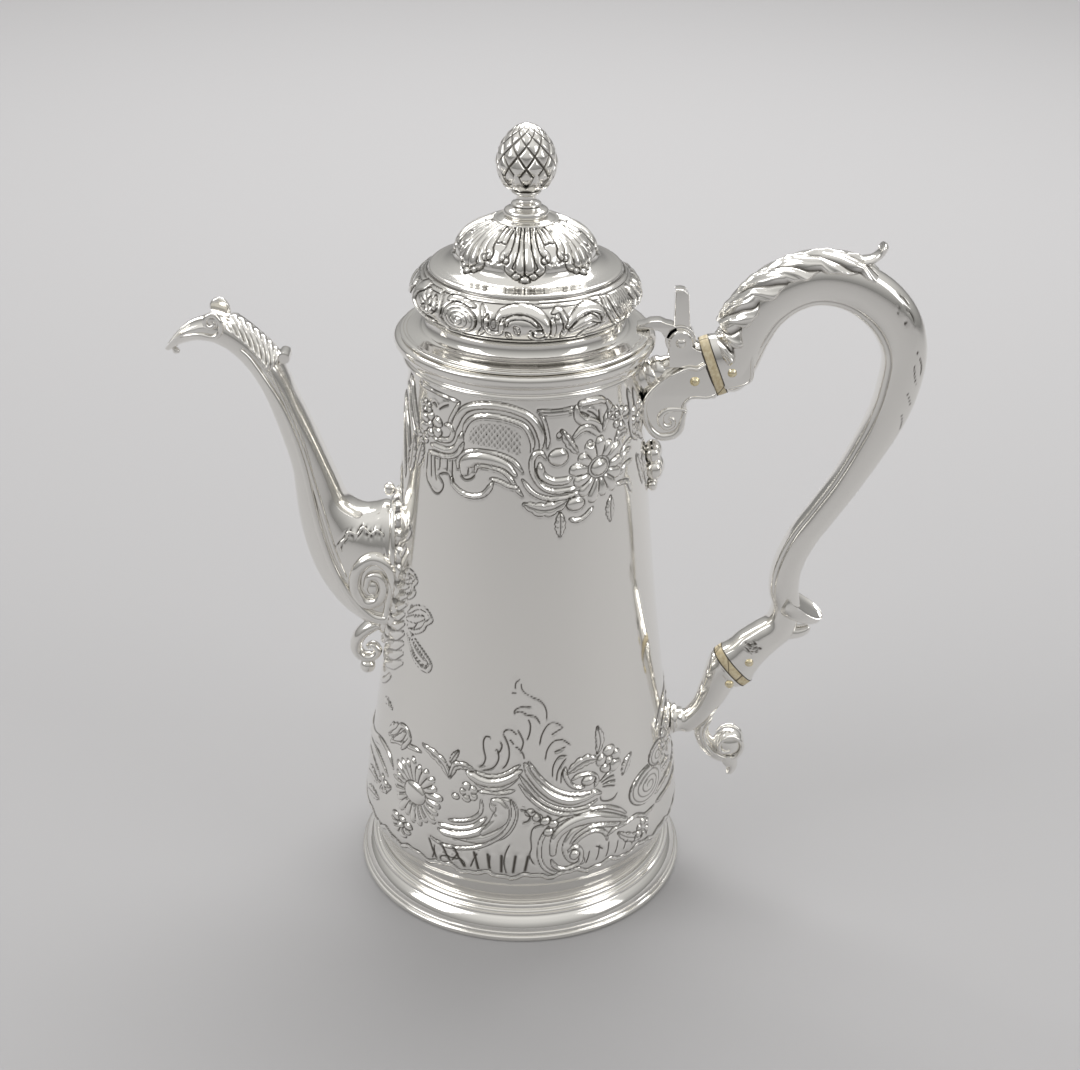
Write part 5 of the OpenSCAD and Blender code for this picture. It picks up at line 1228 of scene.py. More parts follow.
# %% [markdown]
# ## The finial
# A turned disc and stem carry the pinecone in a cup of sepals. The cone is one turned form
# whose scales are the lozenges between two sets of spiral grooves. The sepals are one leaf
# copied round the axis by a node group, so the leaf is drawn once.

# %% Disc and stem
FINIAL_COLUMNS = 128
DISC = rounded([(1.7, 230.8), (9.9, 230.8)], [(10.0, 230.9), (9.95, 231.25), (9.5, 231.5), (9.0, 231.45)],
               [(8.9, 231.3), (8.3, 231.55), (7.6, 231.8)],
               [(6.2, 232.0), (6.75, 232.5), (6.9, 233.2), (6.6, 233.9), (5.9, 234.3)],
               [(5.4, 234.35), (4.6, 234.7), (4.2, 234.98), (1.7, 234.98)])
turned("finial_disc_turned", DISC, "lid", ["finial_disc"], FINIAL_COLUMNS)
STEM = rounded([(1.7, 235.07), (4.1, 235.07)], [(4.55, 235.3), (4.65, 235.65), (4.3, 236.05)],
               [(3.6, 236.3), (3.05, 237.0), (2.95, 238.0), (3.1, 238.7)],
               [(3.6, 238.85), (4.3, 239.0), (4.55, 239.4), (4.3, 239.85), (3.7, 240.1), (3.4, 240.4)],
               [(1.7, 240.4)])
turned("finial_stem_turned", STEM, "lid", ["finial_stem"], FINIAL_COLUMNS)

# %% Pinecone
CONE_FOOT, CONE_TALL = 241.5, 18.7
CONE_COLUMNS = 320
SCALES_ROUND = 10
cone_line = spline([(4.4, 0), (6.3, 0.05), (7.9, 0.15), (8.8, 0.29), (8.85, 0.42), (8.2, 0.58), (6.7, 0.74),
                    (4.6, 0.88), (2.6, 0.96), (0.2, 1.0)], 14)
cone_r, cone_z = cone_line[:, :1], CONE_FOOT + CONE_TALL * cone_line[:, 1:]
turn = full_turn(CONE_COLUMNS)[None, :]
steps = np.hypot(*np.diff(np.hstack([cone_r, cone_z]), axis=0).T) / cone_r[1:, 0]
climb = np.r_[0, np.cumsum(steps)][:, None]
across, upward = (way * SCALES_ROUND / (2 * math.pi) for way in (turn, climb / 1.3))
spirals = (abs(k - np.round(k)) for k in (across + upward + 0.5, across - upward + 0.5))
near_line = np.minimum(*spirals)
groove = np.exp(-(near_line / 0.085) ** 2)
swell = (0.55 * (1 - groove) + 0.9 * near_line) * np.clip(cone_r / 8.8, 0.15, 1)
r = cone_r - 0.45 + swell * clamp((climb[-1] - climb) / 0.4)
# The grooves between the scales are marked dark: tarnish and painted shade.
piece("finial_pinecone", round_axis(r, turn, cone_z), tube_faces(len(cone_line), CONE_COLUMNS), "lid",
      ["finial_cone"], hollow=clamp(1.15 * groove - 0.1), crease=60)

# %% Copies round the axis with Geometry Nodes
def ring_tool():
    """A node group: the incoming mesh copied round the axis."""
    group = bpy.data.node_groups.new("copies_round_axis", "GeometryNodeTree")
    sockets = (("Geometry", "INPUT", "Geometry"), ("Copies", "INPUT", "Int"), ("Finish", "INPUT", "Material"),
               ("Turn", "INPUT", "Float"), ("Geometry", "OUTPUT", "Geometry"))
    for label, way, kind in sockets:
        group.interface.new_socket(label, in_out=way, socket_type="NodeSocket" + kind)
    kinds = {"source": "NodeGroupInput", "sink": "NodeGroupOutput", "line": "GeometryNodeMeshLine",
             "copies": "GeometryNodeInstanceOnPoints", "real": "GeometryNodeRealizeInstances",
             "finish": "GeometryNodeSetMaterial", "index": "GeometryNodeInputIndex",
             "step": "ShaderNodeMath", "angle": "ShaderNodeMath", "axis": "ShaderNodeCombineXYZ"}
    node = {label: group.nodes.new(kind) for label, kind in kinds.items()}
    node["line"].inputs["Offset"].default_value = (0, 0, 0)
    node["step"].operation, node["angle"].operation = "DIVIDE", "MULTIPLY_ADD"
    node["step"].inputs[0].default_value = 2 * math.pi
    links = (("source", "Copies", "line", "Count"), ("source", "Copies", "step", 1),
             ("index", 0, "angle", 0), ("step", 0, "angle", 1), ("source", "Turn", "angle", 2),
             ("angle", 0, "axis", "Z"), ("line", 0, "copies", "Points"), ("axis", 0, "copies", "Rotation"),
             ("source", "Geometry", "copies", "Instance"), ("copies", 0, "real", 0),
             ("real", 0, "finish", "Geometry"), ("source", "Finish", "finish", "Material"),
             ("finish", 0, "sink", 0))
    for start, out, end, slot in links:
        group.links.new(node[start].outputs[out], node[end].inputs[slot])
    return group


def copies_round_axis(name, points, faces, marks, copies, turn, body, replaces):
    """One mesh from copies of a leaf laid round the axis, the first turned by so many degrees."""
    if volume(points, faces) < 0:
        faces = faces[:, ::-1]
    mesh = bpy.data.meshes.new("one_of_" + name)
    mesh.from_pydata((points * MM).tolist(), [], faces.tolist())
    mesh.attributes.new("hollow", "FLOAT", "POINT").data.foreach_set("value", marks.astype(np.float32))
    made = bpy.data.objects.new("one_of_" + name, mesh)
    bpy.context.scene.collection.objects.link(made)
    modifier = made.modifiers.new("ring", "NODES")
    modifier.node_group = ring_tool()
    values = {"Copies": copies, "Turn": math.radians(turn), "Finish": silver}
    for socket in modifier.node_group.interface.items_tree:
        if socket.name in values:
            modifier[socket.identifier] = values[socket.name]
    whole = mesh_of(made)
    bpy.data.objects.remove(made)
    bpy.data.meshes.remove(mesh)
    settle(name, whole, body, replaces, crease=50)


def mesh_of(made):
    """A mesh of its own from what an object's modifiers or curves make."""
    bpy.context.view_layer.update()
    return bpy.data.meshes.new_from_object(made.evaluated_get(bpy.context.evaluated_depsgraph_get()))


print("copies ready")

# %% Sepals
SEPALS = 9
SEPAL_ROWS, SEPAL_COLUMNS = 20, 15
THICK, VEIN = 0.45, 0.25
sepal_path = spline([(3.3, 240.5), (5.0, 240.9), (7.0, 242.2), (8.3, 244.4), (8.95, 247.0)], 10)
v, u = np.linspace(0, 1, SEPAL_ROWS)[:, None], np.linspace(-1, 1, SEPAL_COLUMNS)[None, :]
run = np.r_[0, np.cumsum(np.hypot(*np.diff(sepal_path, axis=0).T))]
r, z = (np.interp(v, run / run[-1], sepal_path[:, k]) for k in (0, 1))
slope = unit(np.hstack([np.gradient(r, axis=0), np.gradient(z, axis=0)]))
half = 3.1 * np.clip(1.02 - v, 0.02, 1) ** 0.7
lift = 0.15 + 0.3 * np.sin(math.pi * v)
bulge = lift * np.sqrt(clamp(1 - 0.95 * u ** 2)) + VEIN * np.exp(-(u / 0.18) ** 2)
turn = np.arcsin(np.clip(half * u / np.maximum(r, 0.8), -0.95, 0.95))
face, back = (round_axis(r + slope[:, 1:] * rise, turn, z - slope[:, :1] * rise)
              for rise in (bulge, np.full_like(bulge, -THICK)))
points = np.concatenate([face, back[:, ::-1]], 1).reshape(-1, 3)
# The sepals are marked dark at their edges and at their roots by the stem: tarnish and painted shade.
edge = np.maximum(clamp((abs(u) - 0.72) * 3.2), clamp(1 - v / 0.25))
marks = np.hstack([edge, 0 * edge]).ravel()
copies_round_axis("finial_sepals", points, tube_faces(SEPAL_ROWS, 2 * SEPAL_COLUMNS), marks, SEPALS, 20,
                  "lid", ["finial_calyx"])

# %% [markdown]
# ## The handle
# Two castings soldered along the middle plane make a hollow S. Its section is an oval that
# thins towards the lower scroll. Each cheek has a rounded line along the inner edge, and
# the outer back is engraved with a leaf where the thumb slides down.

# %% Handle plan
HANDLE_PLAN = [  # from the upper end: out, up, direction of the outer side, half height, half width
    (0, 0, 111, 9.9, 6.3), (4.7, 1.8, 113, 9.9, 6.4), (8.0, 10.8, 148, 8.2, 6.6), (13.4, 19.6, 139, 7.8, 6.6),
    (21.4, 25.6, 115, 7.6, 6.4), (30.4, 27.9, 93, 7.6, 6.2), (40.4, 26.1, 68, 7.7, 6.2),
    (49.1, 20.8, 48, 7.9, 6.2), (55.2, 13.3, 28, 7.7, 6.0), (58.1, 3.8, 6, 7.0, 5.8),
    (57.2, -7.2, -8, 6.7, 5.6), (54.6, -17.2, -18, 6.2, 5.3), (50.0, -27.9, -26, 5.6, 5.0),
    (43.6, -40.5, -29, 5.0, 4.7), (37.0, -51.4, -31, 4.9, 4.5), (31.0, -61.2, -28, 4.9, 4.4),
    (27.2, -71.2, -12, 4.9, 4.4), (26.4, -79.7, 0, 5.0, 4.6), (27.6, -87.2, -14, 5.0, 4.8),
    (26.0, -94.0, -38, 5.5, 5.2), (21.7, -98.1, -45, 6.0, 5.5), (17.3, -102.3, -46, 6.7, 5.8),
    (14.3, -106.1, -48, 7.3, 6.0), (12.5, -108.7, -49, 8.3, 6.1)]
GRIP = (60.6, 184.7)
ENGRAVED = [
    [(113.8, 209.6), (115.6, 208.9), (117.8, 206.2)],
    [(114.6, 206.4), (114.4, 203.2), (116.2, 200.8), (117.8, 201.4)],
    [(116.6, 205.2), (118.6, 203.6), (119.8, 201)],
    [(117.2, 198.4), (117.6, 196.2), (119.6, 195.6), (121.2, 196.8)],
    [(118.6, 193.2), (119, 190.8), (120.8, 190.2), (122.2, 191.8)],
    [(121.2, 187), (121.6, 183.4), (122.6, 180.2)], [(122.6, 189.6), (123.6, 186.4), (123.6, 182.8)],
    [(119.4, 178.4), (120.6, 176), (121.6, 172.8)], [(118.8, 170.6), (119.4, 167.6), (119.2, 164.6)]]
handle_plan = np.array(HANDLE_PLAN, float)
handle_plan[:, :2] += GRIP
print(len(handle_plan), "sections of the handle")

# %% Handle
HANDLE_STEPS, HANDLE_COLUMNS = 10, 96
handle = spline(handle_plan, HANDLE_STEPS)
b = full_turn(HANDLE_COLUMNS, 0.5)
skin = section(handle, b)
place = np.arange(len(handle)) / HANDLE_STEPS
around = np.degrees(np.minimum(b, 2 * math.pi - b))[None, :]
length = (clamp(place - 1.4) * clamp(17.5 - place))[:, None]
groove = np.exp(-((around - 132) / 4.5) ** 2) * length
roll = np.exp(-((around - 150) / 11) ** 2) * length
back, side = Sheet(skin[..., 0], skin[..., 2]), Sheet(skin[..., 0], skin[..., 2])
for line in ENGRAVED:
    cut(back, line, 0.28, 0.22, 0.0)
for dx, dz in ((-1.1, 1.2), (0.2, 1.5), (1.3, 0.6)):
    leaf(side, [(77.5, 83.2), (77.5 + dx, 83.2 + dz), (77.5 + 2 * dx, 83.2 + 2.2 * dz)], 0.8, 0.35, 2)
on_back, on_side = around < 80, abs(around - 90) < 60
rise = (0.28 * roll - 0.3 * groove + back.height.reshape(back.shape) * on_back
        + side.height.reshape(side.shape) * on_side)
# The groove along the cheek and the engraved and chased lines are marked dark: tarnish and painted shade.
marks = clamp(0.55 * groove + back.hollow.reshape(back.shape) * on_back
              + side.hollow.reshape(side.shape) * on_side)
points = skin + unit(skin - section(handle, b, -1.0)) * rise[..., None]
piece("handle_scroll_tube", points, tube_faces(len(handle), HANDLE_COLUMNS), "pot",
      ["handle_near_half", "handle_far_half"], hollow=marks, crease=55)

# %% [markdown]
# ## The acanthus leaf on the handle
# The leaf lies over the upper bow. Its lobes sweep back from a mid-rib, each with its own
# ribs, and their ends make the serrated edge. A bent tab at its tip stops the thumb.

# %% Handle leaf
LOBES = 7.0
bow = spline(handle_plan[:8], 26)[13:165]
u, v = np.linspace(0, 1, len(bow))[:, None], np.linspace(-1, 1, 121)[None, :]
along = u * (1.02 - 0.1 * u)
sweep_back = LOBES * (along - 0.62 * abs(v) / LOBES * 2.2) + 0.35
lobe = abs(np.sin(math.pi * sweep_back))
fine = 0.5 + 0.5 * np.cos(2 * math.pi * (sweep_back * 3 + 0.25))
midrib = np.exp(-(v / 0.07) ** 2)
hill = lobe ** 0.6 * (0.55 + 0.45 * clamp(abs(v) * 1.6))
rise = (0.75 + 1.25 * hill + 0.28 * fine * lobe + 0.9 * midrib) * clamp(np.minimum(u * 10, (1 - u) * 7) + 0.3)
rise *= clamp((1 - abs(v)) * 12 + 0.45)
edge_lobes = abs(np.sin(math.pi * (LOBES * (along - 0.195) + 0.35)))
reach = (84 - 30 * u ** 2) * (0.84 + 0.2 * edge_lobes ** 0.7 + 0.03 * np.sin(math.pi * 3 * LOBES * u))
angle = np.radians(reach * v)
face = section(bow, angle) + unit(section(bow, angle) - section(bow, angle, -1.0)) * rise[..., None]
# The gaps between the lobes and between the fine ribs are marked dark: tarnish and painted shade.
marks = clamp(1.1 - 1.35 * lobe ** 0.5) * (1 - midrib) + 0.35 * (1 - fine) * lobe * (abs(v) > 0.1)
piece("handle_acanthus", np.concatenate([face, section(bow, angle[:, ::-1], -0.4)], 1),
      tube_faces(len(bow), 2 * v.size), "pot", ["handle_leaf"], hollow=np.hstack([marks, 0 * marks]),
      crease=60)

# %% Thumb tab
TAB = [(103.2, 0, 219.0), (105.8, 0, 219.6), (107.9, 0, 221.2), (108.9, 0, 223.2), (108.4, 0, 223.9)]
share = np.linspace(0, 1, 8 * (len(TAB) - 1) + 1)
thick = np.interp(share, [0, 0.4, 0.8, 1], [1.4, 1.2, 1.5, 1.1])
half = np.interp(share, [0, 0.5, 0.85, 1], [3.4, 2.8, 3.2, 2.6])
piece("handle_thumb_tab", *bar(TAB, thick, 8, 20, (half / thick)[:, None, None]))

# %% [markdown]
# ## Sockets, scroll ends and the hinge
# The parts round the handle's ends were sawn and filed from thick plate and cast stubs. A
# flat outline with a filled middle, given a width and a rounded edge, is what a filed plate
# is, so a curve with a bevel makes it. The scroll eyes are bars wound in a spiral and laid
# on both cheeks.

# %% Filed plates
def plate_mesh(name, outlines, half_width, bevel, smooth, middle=0.0):
    """A plate from side outlines (x, z), with rounded edges, its middle off to one side."""
    curve = bpy.data.curves.new(name, "CURVE")
    curve.dimensions, curve.fill_mode = "2D", "BOTH"
    curve.extrude, curve.bevel_depth, curve.bevel_resolution = (half_width - bevel) * MM, bevel * MM, 3
    curve.offset = -bevel * MM
    for outline in outlines:
        line = spline(list(outline) + [outline[0]], smooth)[:-1] if smooth else np.array(outline, float)
        strand = curve.splines.new("POLY")
        strand.points.add(len(line) - 1)
        strand.use_cyclic_u = True
        strand.points.foreach_set("co", np.c_[line * MM, np.zeros(len(line)), np.ones(len(line))].ravel())
    made = bpy.data.objects.new(name + "_outline", curve)
    bpy.context.scene.collection.objects.link(made)
    mesh = mesh_of(made)
    bpy.data.objects.remove(made)
    bpy.data.curves.remove(curve)
    work = bmesh.new()
    work.from_mesh(mesh)
    for vertex in work.verts:
        x, z, y = vertex.co
        vertex.co = (x, y + middle * MM, z)
    bmesh.ops.remove_doubles(work, verts=work.verts, dist=1e-6)
    bmesh.ops.recalc_face_normals(work, faces=work.faces)
    work.to_mesh(mesh)
    work.free()
    return mesh


def plate(name, outlines, half_width, bevel, body="pot", replaces=(), smooth=4):
    """A filed plate in the middle plane."""
    settle(name, plate_mesh(name, outlines, half_width, bevel, smooth), body, replaces, crease=35)


def along_end(station, sense, rise, far):
    """A place from a handle's end: rise along the slab, far away from it, in side view."""
    x, z, a = station[0], station[1], math.radians(station[2])
    return (x + rise * math.cos(a) + sense * far * math.sin(a),
            z + rise * math.sin(a) - sense * far * math.cos(a))


UPPER_END, LOWER_END = handle_plan[0], handle_plan[-1]
SLAB = 3.2
PIN_X, PIN_Z = 48.3, 193.1
print("plate tool ready")

# %% Upper socket
def mouth(rise, far):
    """A place at the mouth of the upper socket."""
    return along_end(UPPER_END, -1, rise, SLAB + 0.1 + far)


def on_side(line, y):
    """A side-view line laid at a distance from the middle plane."""
    return [(x, y, z) for x, z in line]


upper_outline = [mouth(3.4, 0), mouth(2.8, 3), (51.1, 185.4), (47.2, 183.8), (44.1, 182.1), (41.8, 180.3),
                 (39.4, 177.9), (37.7, 175.1), (37.0, 171.6), (37.7, 167.3), (39.7, 163.4), (43.0, 161.2),
                 (47.0, 161.6), (49.6, 163.8), (50.5, 167.0), (51.3, 170.9), (49.7, 171.6), (50.2, 173.4),
                 (52.4, 175.1), mouth(-7.9, 3), mouth(-7.7, 0)]
plate("upper_socket_plate", [upper_outline], 6.2, 0.8, "pot", ["upper_socket"], 5)
top_edge = [mouth(3.2, 0.4), mouth(2.6, 3), (51.1, 185.0), (47.2, 183.3), (44.2, 181.6), (42.0, 179.8),
            (39.8, 177.4), (38.3, 174.8), (37.7, 171.6), (38.4, 167.6), (40.2, 164.2), (43.1, 162.1),
            (46.8, 162.5), (49.0, 164.4), (49.8, 167.2), (50.4, 170.6)]
curl = [(50.6, 171.2), (47.8, 171.4), (44.8, 171.0), (43.1, 169.3), (43.1, 167.0), (44.7, 165.4),
        (46.7, 166.1), (46.8, 167.8), (45.6, 168.5)]
low_edge = [mouth(-7.3, 0.4), mouth(-7.4, 3), (52.6, 175.5), (50.6, 173.7), (50.0, 171.8)]
together("upper_socket_scrolls", [
    bar(on_side(top_edge, -6.0), [0.4, 0.5, 0.55, 0.6, 0.7, 0.9, 1.1, 1.3, 1.4, 1.2, 0.7]),
    bar(on_side(curl, -6.1), [0.5, 0.9, 1.2, 1.2, 1.0, 0.7]),
    bar(on_side(low_edge, -6.1), [0.4, 0.5, 0.55, 0.5, 0.3], 5, 10)], BOTH)

# %% Husks under the upper socket
for k, (z, r, out) in enumerate(((154.6, 3.2, 2.3), (149.2, 3.6, 2.4), (143.2, 2.0, 1.5))):
    x = float(BODY_PROFILE(z)) + out
    buds = [ball((x, 1.15 * r * side * 0.55, z - 0.6 * abs(side)), r * (0.78 if side else 0.95), 1.2, 10, 18)
            for side in (-1, 0, 1)]
    together(f"husk_{k + 1}", buds, replaces=() if k else ["upper_socket_drop"])

# %% Hinge ears
def circle(cx, cz, r, start=0, stop=360, n=24):
    turns = np.radians(np.linspace(start, stop, n, endpoint=stop - start < 360))
    return [(cx + r * math.cos(a), cz + r * math.sin(a)) for a in turns]


EAR_IN, EAR_OUT = 2.95, 4.95
ear = circle(PIN_X, PIN_Z, 3.9, -20, 200, 18) + [
    (PIN_X - 3.4, PIN_Z - 5), (PIN_X - 3.3, PIN_Z - 8.2), mouth(2.5, 3), mouth(2.5, 0), mouth(5, 0),
    mouth(7.4, 0.05), mouth(8.2, 1.2)]
work = bmesh.new()
for side in BOTH:
    one = plate_mesh("one_ear", [ear], (EAR_OUT - EAR_IN) / 2, 0.3, 0, side * (EAR_IN + EAR_OUT) / 2)
    work.from_mesh(one)
    bpy.data.meshes.remove(one)
ears = bpy.data.meshes.new("hinge_ears")
work.to_mesh(ears)
work.free()
settle("hinge_ears", ears, "pot", crease=35)
ear_line = bar(on_side(circle(PIN_X, PIN_Z, 3.3, -20, 200, 14), -5.0), [0.3, 0.45, 0.45, 0.3], 3, 8)
together("hinge_ear_lines", [ear_line], BOTH)

# %% Knuckle, strap and lever
knuckle = circle(PIN_X, PIN_Z, 4.75, n=40)
plate("hinge_knuckle", [knuckle, circle(PIN_X, PIN_Z, 1.3)], 2.55, 0.3, "lid", ["hinge_leaf"], 0)
strap = [(34.9, 197.0), (38.6, 196.6), (40.0, 196.3), (42.2, 195.7), (44.0, 193.4), (47.0, 194.4),
         (47.2, 197.4), (43.7, 198.5), (41.9, 199.3), (38.9, 199.1), (36.9, 198.2), (35.0, 197.7)]
plate("hinge_strap", [strap], 2.55, 0.35, "lid", smooth=2)
lever = [(-2.1, 4), (-2.1, 10), (-2.1, 16.4), (-0.6, 16.5), (0.8, 16.2), (2.0, 14.6), (2.5, 9), (2.9, 4)]
plate("hinge_lever", [[(PIN_X + x, PIN_Z + z) for x, z in lever]], 2.25, 0.35, "lid", smooth=0)
lever_edge = [(PIN_X + x, -2.0, PIN_Z + z) for x, z in ((-2.2, 15.6), (-0.4, 16.0), (1.4, 15.2))]
together("lever_edge", [bar(lever_edge, [0.3, 0.4, 0.3], 4, 10)], BOTH, body="lid")

# %% Pin heads
def head(x, z, y, radius, rise):
    """A round head on the near cheek, y away from the middle plane."""
    depths = (-0.5, 0, 0.45 * rise, 0.85 * rise, rise)
    radii = [radius, radius, 0.86 * radius, 0.45 * radius, 0.08]
    return bar([(x, -y - depth, z) for depth in depths], radii, 4, 24)


HANDLE_PINS = [  # which end, its sense, up, away from the end, half width there
    (UPPER_END, 1, -2.1, 3.5, 6.1), (UPPER_END, -1, -0.8, SLAB + 5.1, 6.25),
    (LOWER_END, -1, 0, 4.6, 5.75), (LOWER_END, 1, 2.6, SLAB + 2.5, 5.5)]
pins = [head(*along_end(*where), y, 1.55, 1.25) for *where, y in HANDLE_PINS]
together("handle_pin_heads", pins, BOTH, replaces=["insulator_rivets"], slot="brass")
together("hinge_pin_heads", [head(PIN_X, PIN_Z, 5.0, 1.6, 0.95)], BOTH, replaces=["hinge_pin"])

# %% Cream slabs
SLAB_COLUMNS = 72
round_slab = full_turn(SLAB_COLUMNS, 0.5)


def across_end(station, sense, steps):
    """A short tube across a handle's end: how far from it, and how much it grows."""
    rows = [along_end(station, sense, 0, far) + (station[2], station[3] + grow, station[4] + grow)
            for far, grow in steps]
    return section(rows, round_slab).reshape(-1, 3), tube_faces(len(rows), SLAB_COLUMNS)


ENDS = (("upper", UPPER_END, -1), ("lower", LOWER_END, 1))
SLAB_STEPS = ((0.05, -0.5), (0.12, -0.12), (0.45, 0.06), (1.6, 0.1), (2.8, 0.06), (3.15, -0.12), (3.22, -0.5))
for name, station, sense in ENDS:
    slab, slab_faces = across_end(station, sense, SLAB_STEPS)
    piece(name + "_cream_slab", slab, slab_faces, "pot", [name + "_insulator"], "ivory")

# %% Lower socket
LOW_X, LOW_Z = 50.70, 53.0
NECK_COLUMNS = 64
face_x, face_z = along_end(LOWER_END, 1, 0, SLAB + 0.1)
neck = [(face_x - x, face_z - z, a, t, w) for x, z, a, t, w in (
    (0, 0, -49, 8.2, 6.1), (0.5, 0.4, -49, 7.8, 6.0), (1.4, 1.2, -49, 7.3, 5.8), (2.7, 2.4, -48, 6.7, 5.5))]
neck += [(LOW_X + u * (face_x - LOW_X), LOW_Z + v * (face_z - LOW_Z), a, t, w) for u, v, a, t, w in (
    (0.774, 0.643, -43, 5.8, 5.2), (0.663, 0.379, -42, 4.9, 4.7), (0.537, 0.158, -53, 4.4, 4.4),
    (0.337, -0.034, -73, 4.2, 4.1), (0.2, -0.03, -84, 3.9, 4.0), (0.1, -0.015, -88, 4.6, 4.6),
    (0.03, 0, -90, 6.2, 6.0))]
neck_line = spline(neck, 8)
piece("lower_socket_neck", section(neck_line, full_turn(NECK_COLUMNS, 0.5)),
      tube_faces(len(neck_line), NECK_COLUMNS), "pot", ["lower_socket"], crease=50)


def spindle(start, end, profile, sides=40, flat=1.0):
    """A turned bar from start to end (x, z): profile rows are share of the way and radius."""
    start, end = np.array([start[0], 0, start[1]]), np.array([end[0], 0, end[1]])
    shares, radii = np.array(profile, float).T
    line = start + (end - start) * shares[:, None]
    side, across = np.cross(unit(end - start), [0, 1, 0]), np.array([0, 1, 0])
    b = full_turn(sides)[:, None]
    points = line[:, None] + radii[:, None, None] * (side * np.cos(b) + flat * across * np.sin(b))
    return points.reshape(-1, 3), tube_faces(len(line), sides)


rings = spindle((face_x, face_z), (face_x - 4.1, face_z - 3.6),
                [(0.0, 7.0), (0.03, 8.1), (0.15, 8.2), (0.19, 7.6), (0.27, 7.5), (0.31, 7.8), (0.41, 7.6),
                 (0.45, 7.0), (0.8, 6.2)], flat=0.76)
piece("lower_socket_rings", *rings, crease=50)
seat = spindle((LOW_X - 2.6, 53.0), (LOW_X + 4.6, 53.0),
               [(0.0, 7.0), (0.2, 6.9), (0.36, 6.6), (0.42, 5.4), (0.5, 4.9), (0.62, 5.3), (0.7, 5.2),
                (0.76, 4.4), (1.0, 3.9)])
piece("lower_socket_seat", *seat, crease=50)

# %% Curled leaf under the lower socket
CURL = np.array([71.9, 0, 43.1])
stem = [(67.0, 57.6, 0.5), (65.2, 54.6, 1.3), (63.1, 51.2, 2.2), (62.6, 47.6, 2.6), (64.2, 43.6, 2.8),
        (66.9, 40.4, 2.9), (70.2, 38.4, 2.7), (73.6, 38.4, 2.3)]
bulb, bulb_faces = ball((0.2, 0, 0.4), 5.5, 1.0, 24, 40)
drop = [(73.0, 0, 37.6), (74.0, 0, 34.6), (73.6, 0, 32.2), (73.0, 0, 30.4)]
together("lower_socket_curl", [
    bar([(x, 0, z) for x, z, _ in stem], [r for *_, r in stem], 6, 24, 1.25),
    (bulb * [1, 0.82, 1] + CURL, bulb_faces), bar(drop, [2.3, 1.9, 1.7, 1.0], 5, 20)],
    replaces=["lower_socket_scroll"])
edge = [(65.6, -2.6, 53.6), (63.4, -3.1, 50.4), (63.4, -3.5, 46.4), (65.6, -3.6, 42.4), (69.2, -3.5, 39.4),
        (73.4, -3.6, 38.6), (76.2, -3.5, 41.4), (76.4, -3.6, 45.2), (73.6, -3.9, 47.6), (70.2, -4.1, 46.9),
        (68.6, -4.3, 44.2), (70.0, -4.5, 41.8), (72.6, -4.6, 42.4)]
eye, eye_faces = spindle((0, 0), (0, 1), [(0.0, 2.0), (0.3, 2.2), (0.8, 2.0), (1.0, 1.2)], 28)
eye = np.stack([eye[:, 0] + 72.3, -3.3 - 1.1 * eye[:, 2], eye[:, 1] + 37.6], -1)
together("lower_socket_curl_lines", [bar(edge, [0.3, 0.6, 0.75, 0.8, 0.75, 0.7, 0.65, 0.6, 0.5]),
                                     (eye, eye_faces)], BOTH)

# %% Cut end of the handle and its horn
CUT_ROWS, CUT_COLUMNS = 28, 40
share, angle = np.linspace(0, 1, CUT_ROWS)[:, None], full_turn(CUT_COLUMNS)[None, :]
x, z = 86.3 + 14.3 * share, 103.9 - 9.4 * share - 0.6 * np.sin(math.pi * share)
half = 7.3 * np.clip(1 - abs(2 * share - 1) ** 2.6, 0.002, 1) ** 0.5
under = np.sin(angle) < 0
deep = np.where(under, 6.6 * (1 - share) ** 0.6 * np.minimum(1, 5 * share + 0.2) + 1.5, 0.0)
lip = 0.35 * np.clip(1 - (np.cos(angle) / 0.86) ** 6, -1, 1) * ~under
fall = deep * abs(np.sin(angle)) ** 0.8 + lip
points = np.stack([x - 0.5 * fall, half * np.cos(angle), z - 0.86 * fall], -1)
piece("handle_cut_end", points, tube_faces(CUT_ROWS, CUT_COLUMNS), "pot", ["handle_scroll"], crease=45)
horn = [(84.6, 0, 90.2), (88.6, 0, 88.6), (92.4, 0, 88.3), (95.2, 0, 89.1), (96.6, 0, 90.3)]
piece("handle_horn", *bar(horn, [3.5, 3.1, 2.4, 1.8, 0.9], 6, 20, 1.2))

# %% Heel of the handle
heel = [(62.5, 178.0), (67.1, 178.5), (70.2, 179.8), (71.6, 181.8), (71.6, 184.5), (71.2, 187.9),
        (71.1, 192.2), (71.9, 196.4), (68.5, 196.0), (64.0, 190.0), (61.8, 182.0)]
plate("handle_heel", [heel], 5.9, 1.3)
heel_line = [(64.5, -5.75, 178.9), (67.6, -5.75, 179.5), (70.0, -5.75, 180.8), (70.7, -5.75, 182.8),
             (70.5, -5.75, 187.5), (70.4, -5.7, 191.5)]
together("handle_heel_line", [bar(heel_line, [0.25, 0.4, 0.45, 0.45, 0.3], 5, 10)], BOTH)

# %% Painted shade at the faces of the slabs
joints = [across_end(station, sense, ((far - 0.16, 0.08), (far + 0.16, 0.08)))
          for _, station, sense in ENDS for far in (0.03, SLAB + 0.03)]
# Thin rings of wholly darkened silver at both faces of each slab: painted shade in the joints.
together("slab_joint_shade", joints, hollow=np.ones(len(joints) * 2 * SLAB_COLUMNS))

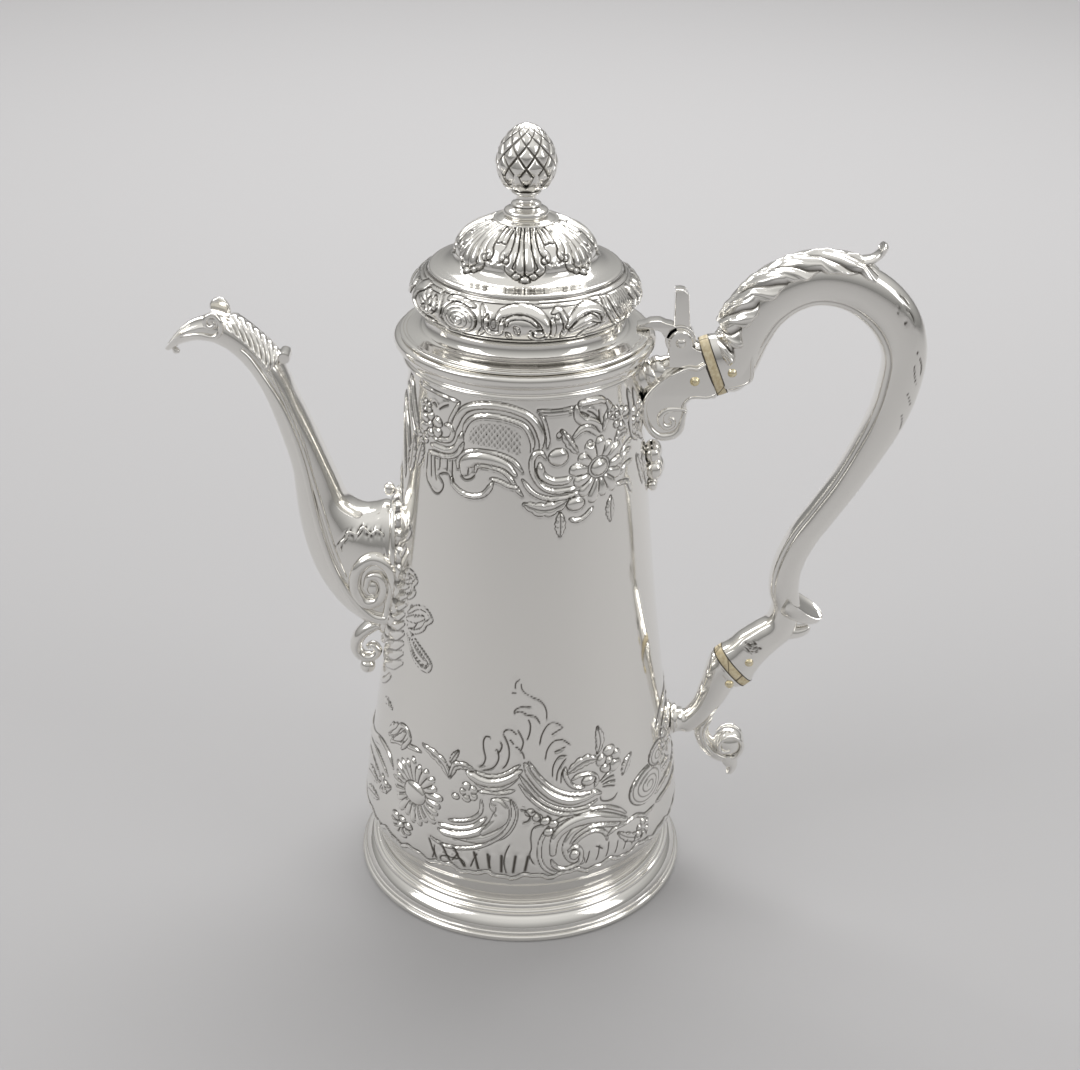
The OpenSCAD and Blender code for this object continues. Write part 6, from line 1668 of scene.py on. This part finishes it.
# %% Barrel under the hinge
barrel = spindle((36.4, 179.4), (57.6, 190.2),
                 [(0.0, 5.4), (0.08, 5.3), (0.1, 4.6), (0.14, 5.1), (0.2, 5.0), (0.22, 4.4), (0.27, 4.7),
                  (0.33, 4.5), (0.36, 3.6), (0.43, 3.3), (0.46, 2.9), (0.62, 2.4), (0.66, 2.5), (0.70, 3.0),
                  (0.78, 3.0), (0.82, 2.5), (1.0, 2.6)])
piece("upper_socket_barrel", *barrel, crease=50)

# %% [markdown]
# ## Floor and light
# Polished silver shows the room, so the light is the finish. A pale paper floor gives the
# walls of the pot their tone, a sky that is pale above and grey low down gives the shoulders
# their brightness, and three soft lamps put the long highlights in.

# %% Paper floor
FLOOR_HALF = 6
corners = [(-FLOOR_HALF, -FLOOR_HALF, 0), (FLOOR_HALF, -FLOOR_HALF, 0), (FLOOR_HALF, FLOOR_HALF, 0),
           (-FLOOR_HALF, FLOOR_HALF, 0)]
floor_mesh = bpy.data.meshes.new("studio_floor")
floor_mesh.from_pydata(corners, [], [(0, 1, 2, 3)])
floor = bpy.data.objects.new("studio_floor", floor_mesh)
bpy.context.scene.collection.objects.link(floor)
paper, paper_shader, _ = finish("pale_paper", 0.0)
paper_shader.inputs["Base Color"].default_value = (0.41, 0.405, 0.41, 1)
paper_shader.inputs["Roughness"].default_value = 0.8
floor_mesh.materials.append(paper)
print("floor laid")


# %% Soft lamps
def soft_light(name, place, aim, wide, tall, watts):
    """A soft box that faces a place."""
    lamp = bpy.data.lights.new(name, "AREA")
    lamp.shape = "RECTANGLE"
    lamp.size, lamp.size_y = wide, tall
    lamp.energy = watts
    made = bpy.data.objects.new(name, lamp)
    bpy.context.scene.collection.objects.link(made)
    made.location = place
    made.rotation_euler = (Vector(aim) - made.location).to_track_quat("-Z", "Y").to_euler()


soft_light("key_left", (-1.7, -0.7, 1.7), (0, 0, 0.12), 1.2, 1.6, 14)
soft_light("fill_right", (1.9, -0.9, 1.4), (0, 0, 0.12), 0.9, 1.5, 7)
soft_light("top_back", (0.1, 1.0, 1.35), (0, 0.8, 0), 1.6, 0.9, 20)
print("three lamps")

# %% Sky
world = bpy.data.worlds.new("studio_air")
bpy.context.scene.world = world
world.use_nodes = True
air = world.node_tree
way, split, rise = (air.nodes.new("ShaderNode" + kind) for kind in ("TexCoord", "SeparateXYZ", "MapRange"))
air.links.new(way.outputs["Generated"], split.inputs[0])
air.links.new(split.outputs["Z"], rise.inputs["Value"])
for label, value in (("From Min", -0.1), ("From Max", 0.9), ("To Min", 0.17), ("To Max", 0.8)):
    rise.inputs[label].default_value = value
air.links.new(rise.outputs["Result"], air.nodes["Background"].inputs["Strength"])
air.nodes["Background"].inputs["Color"].default_value = (0.98, 0.97, 0.95, 1)
print("sky lit")
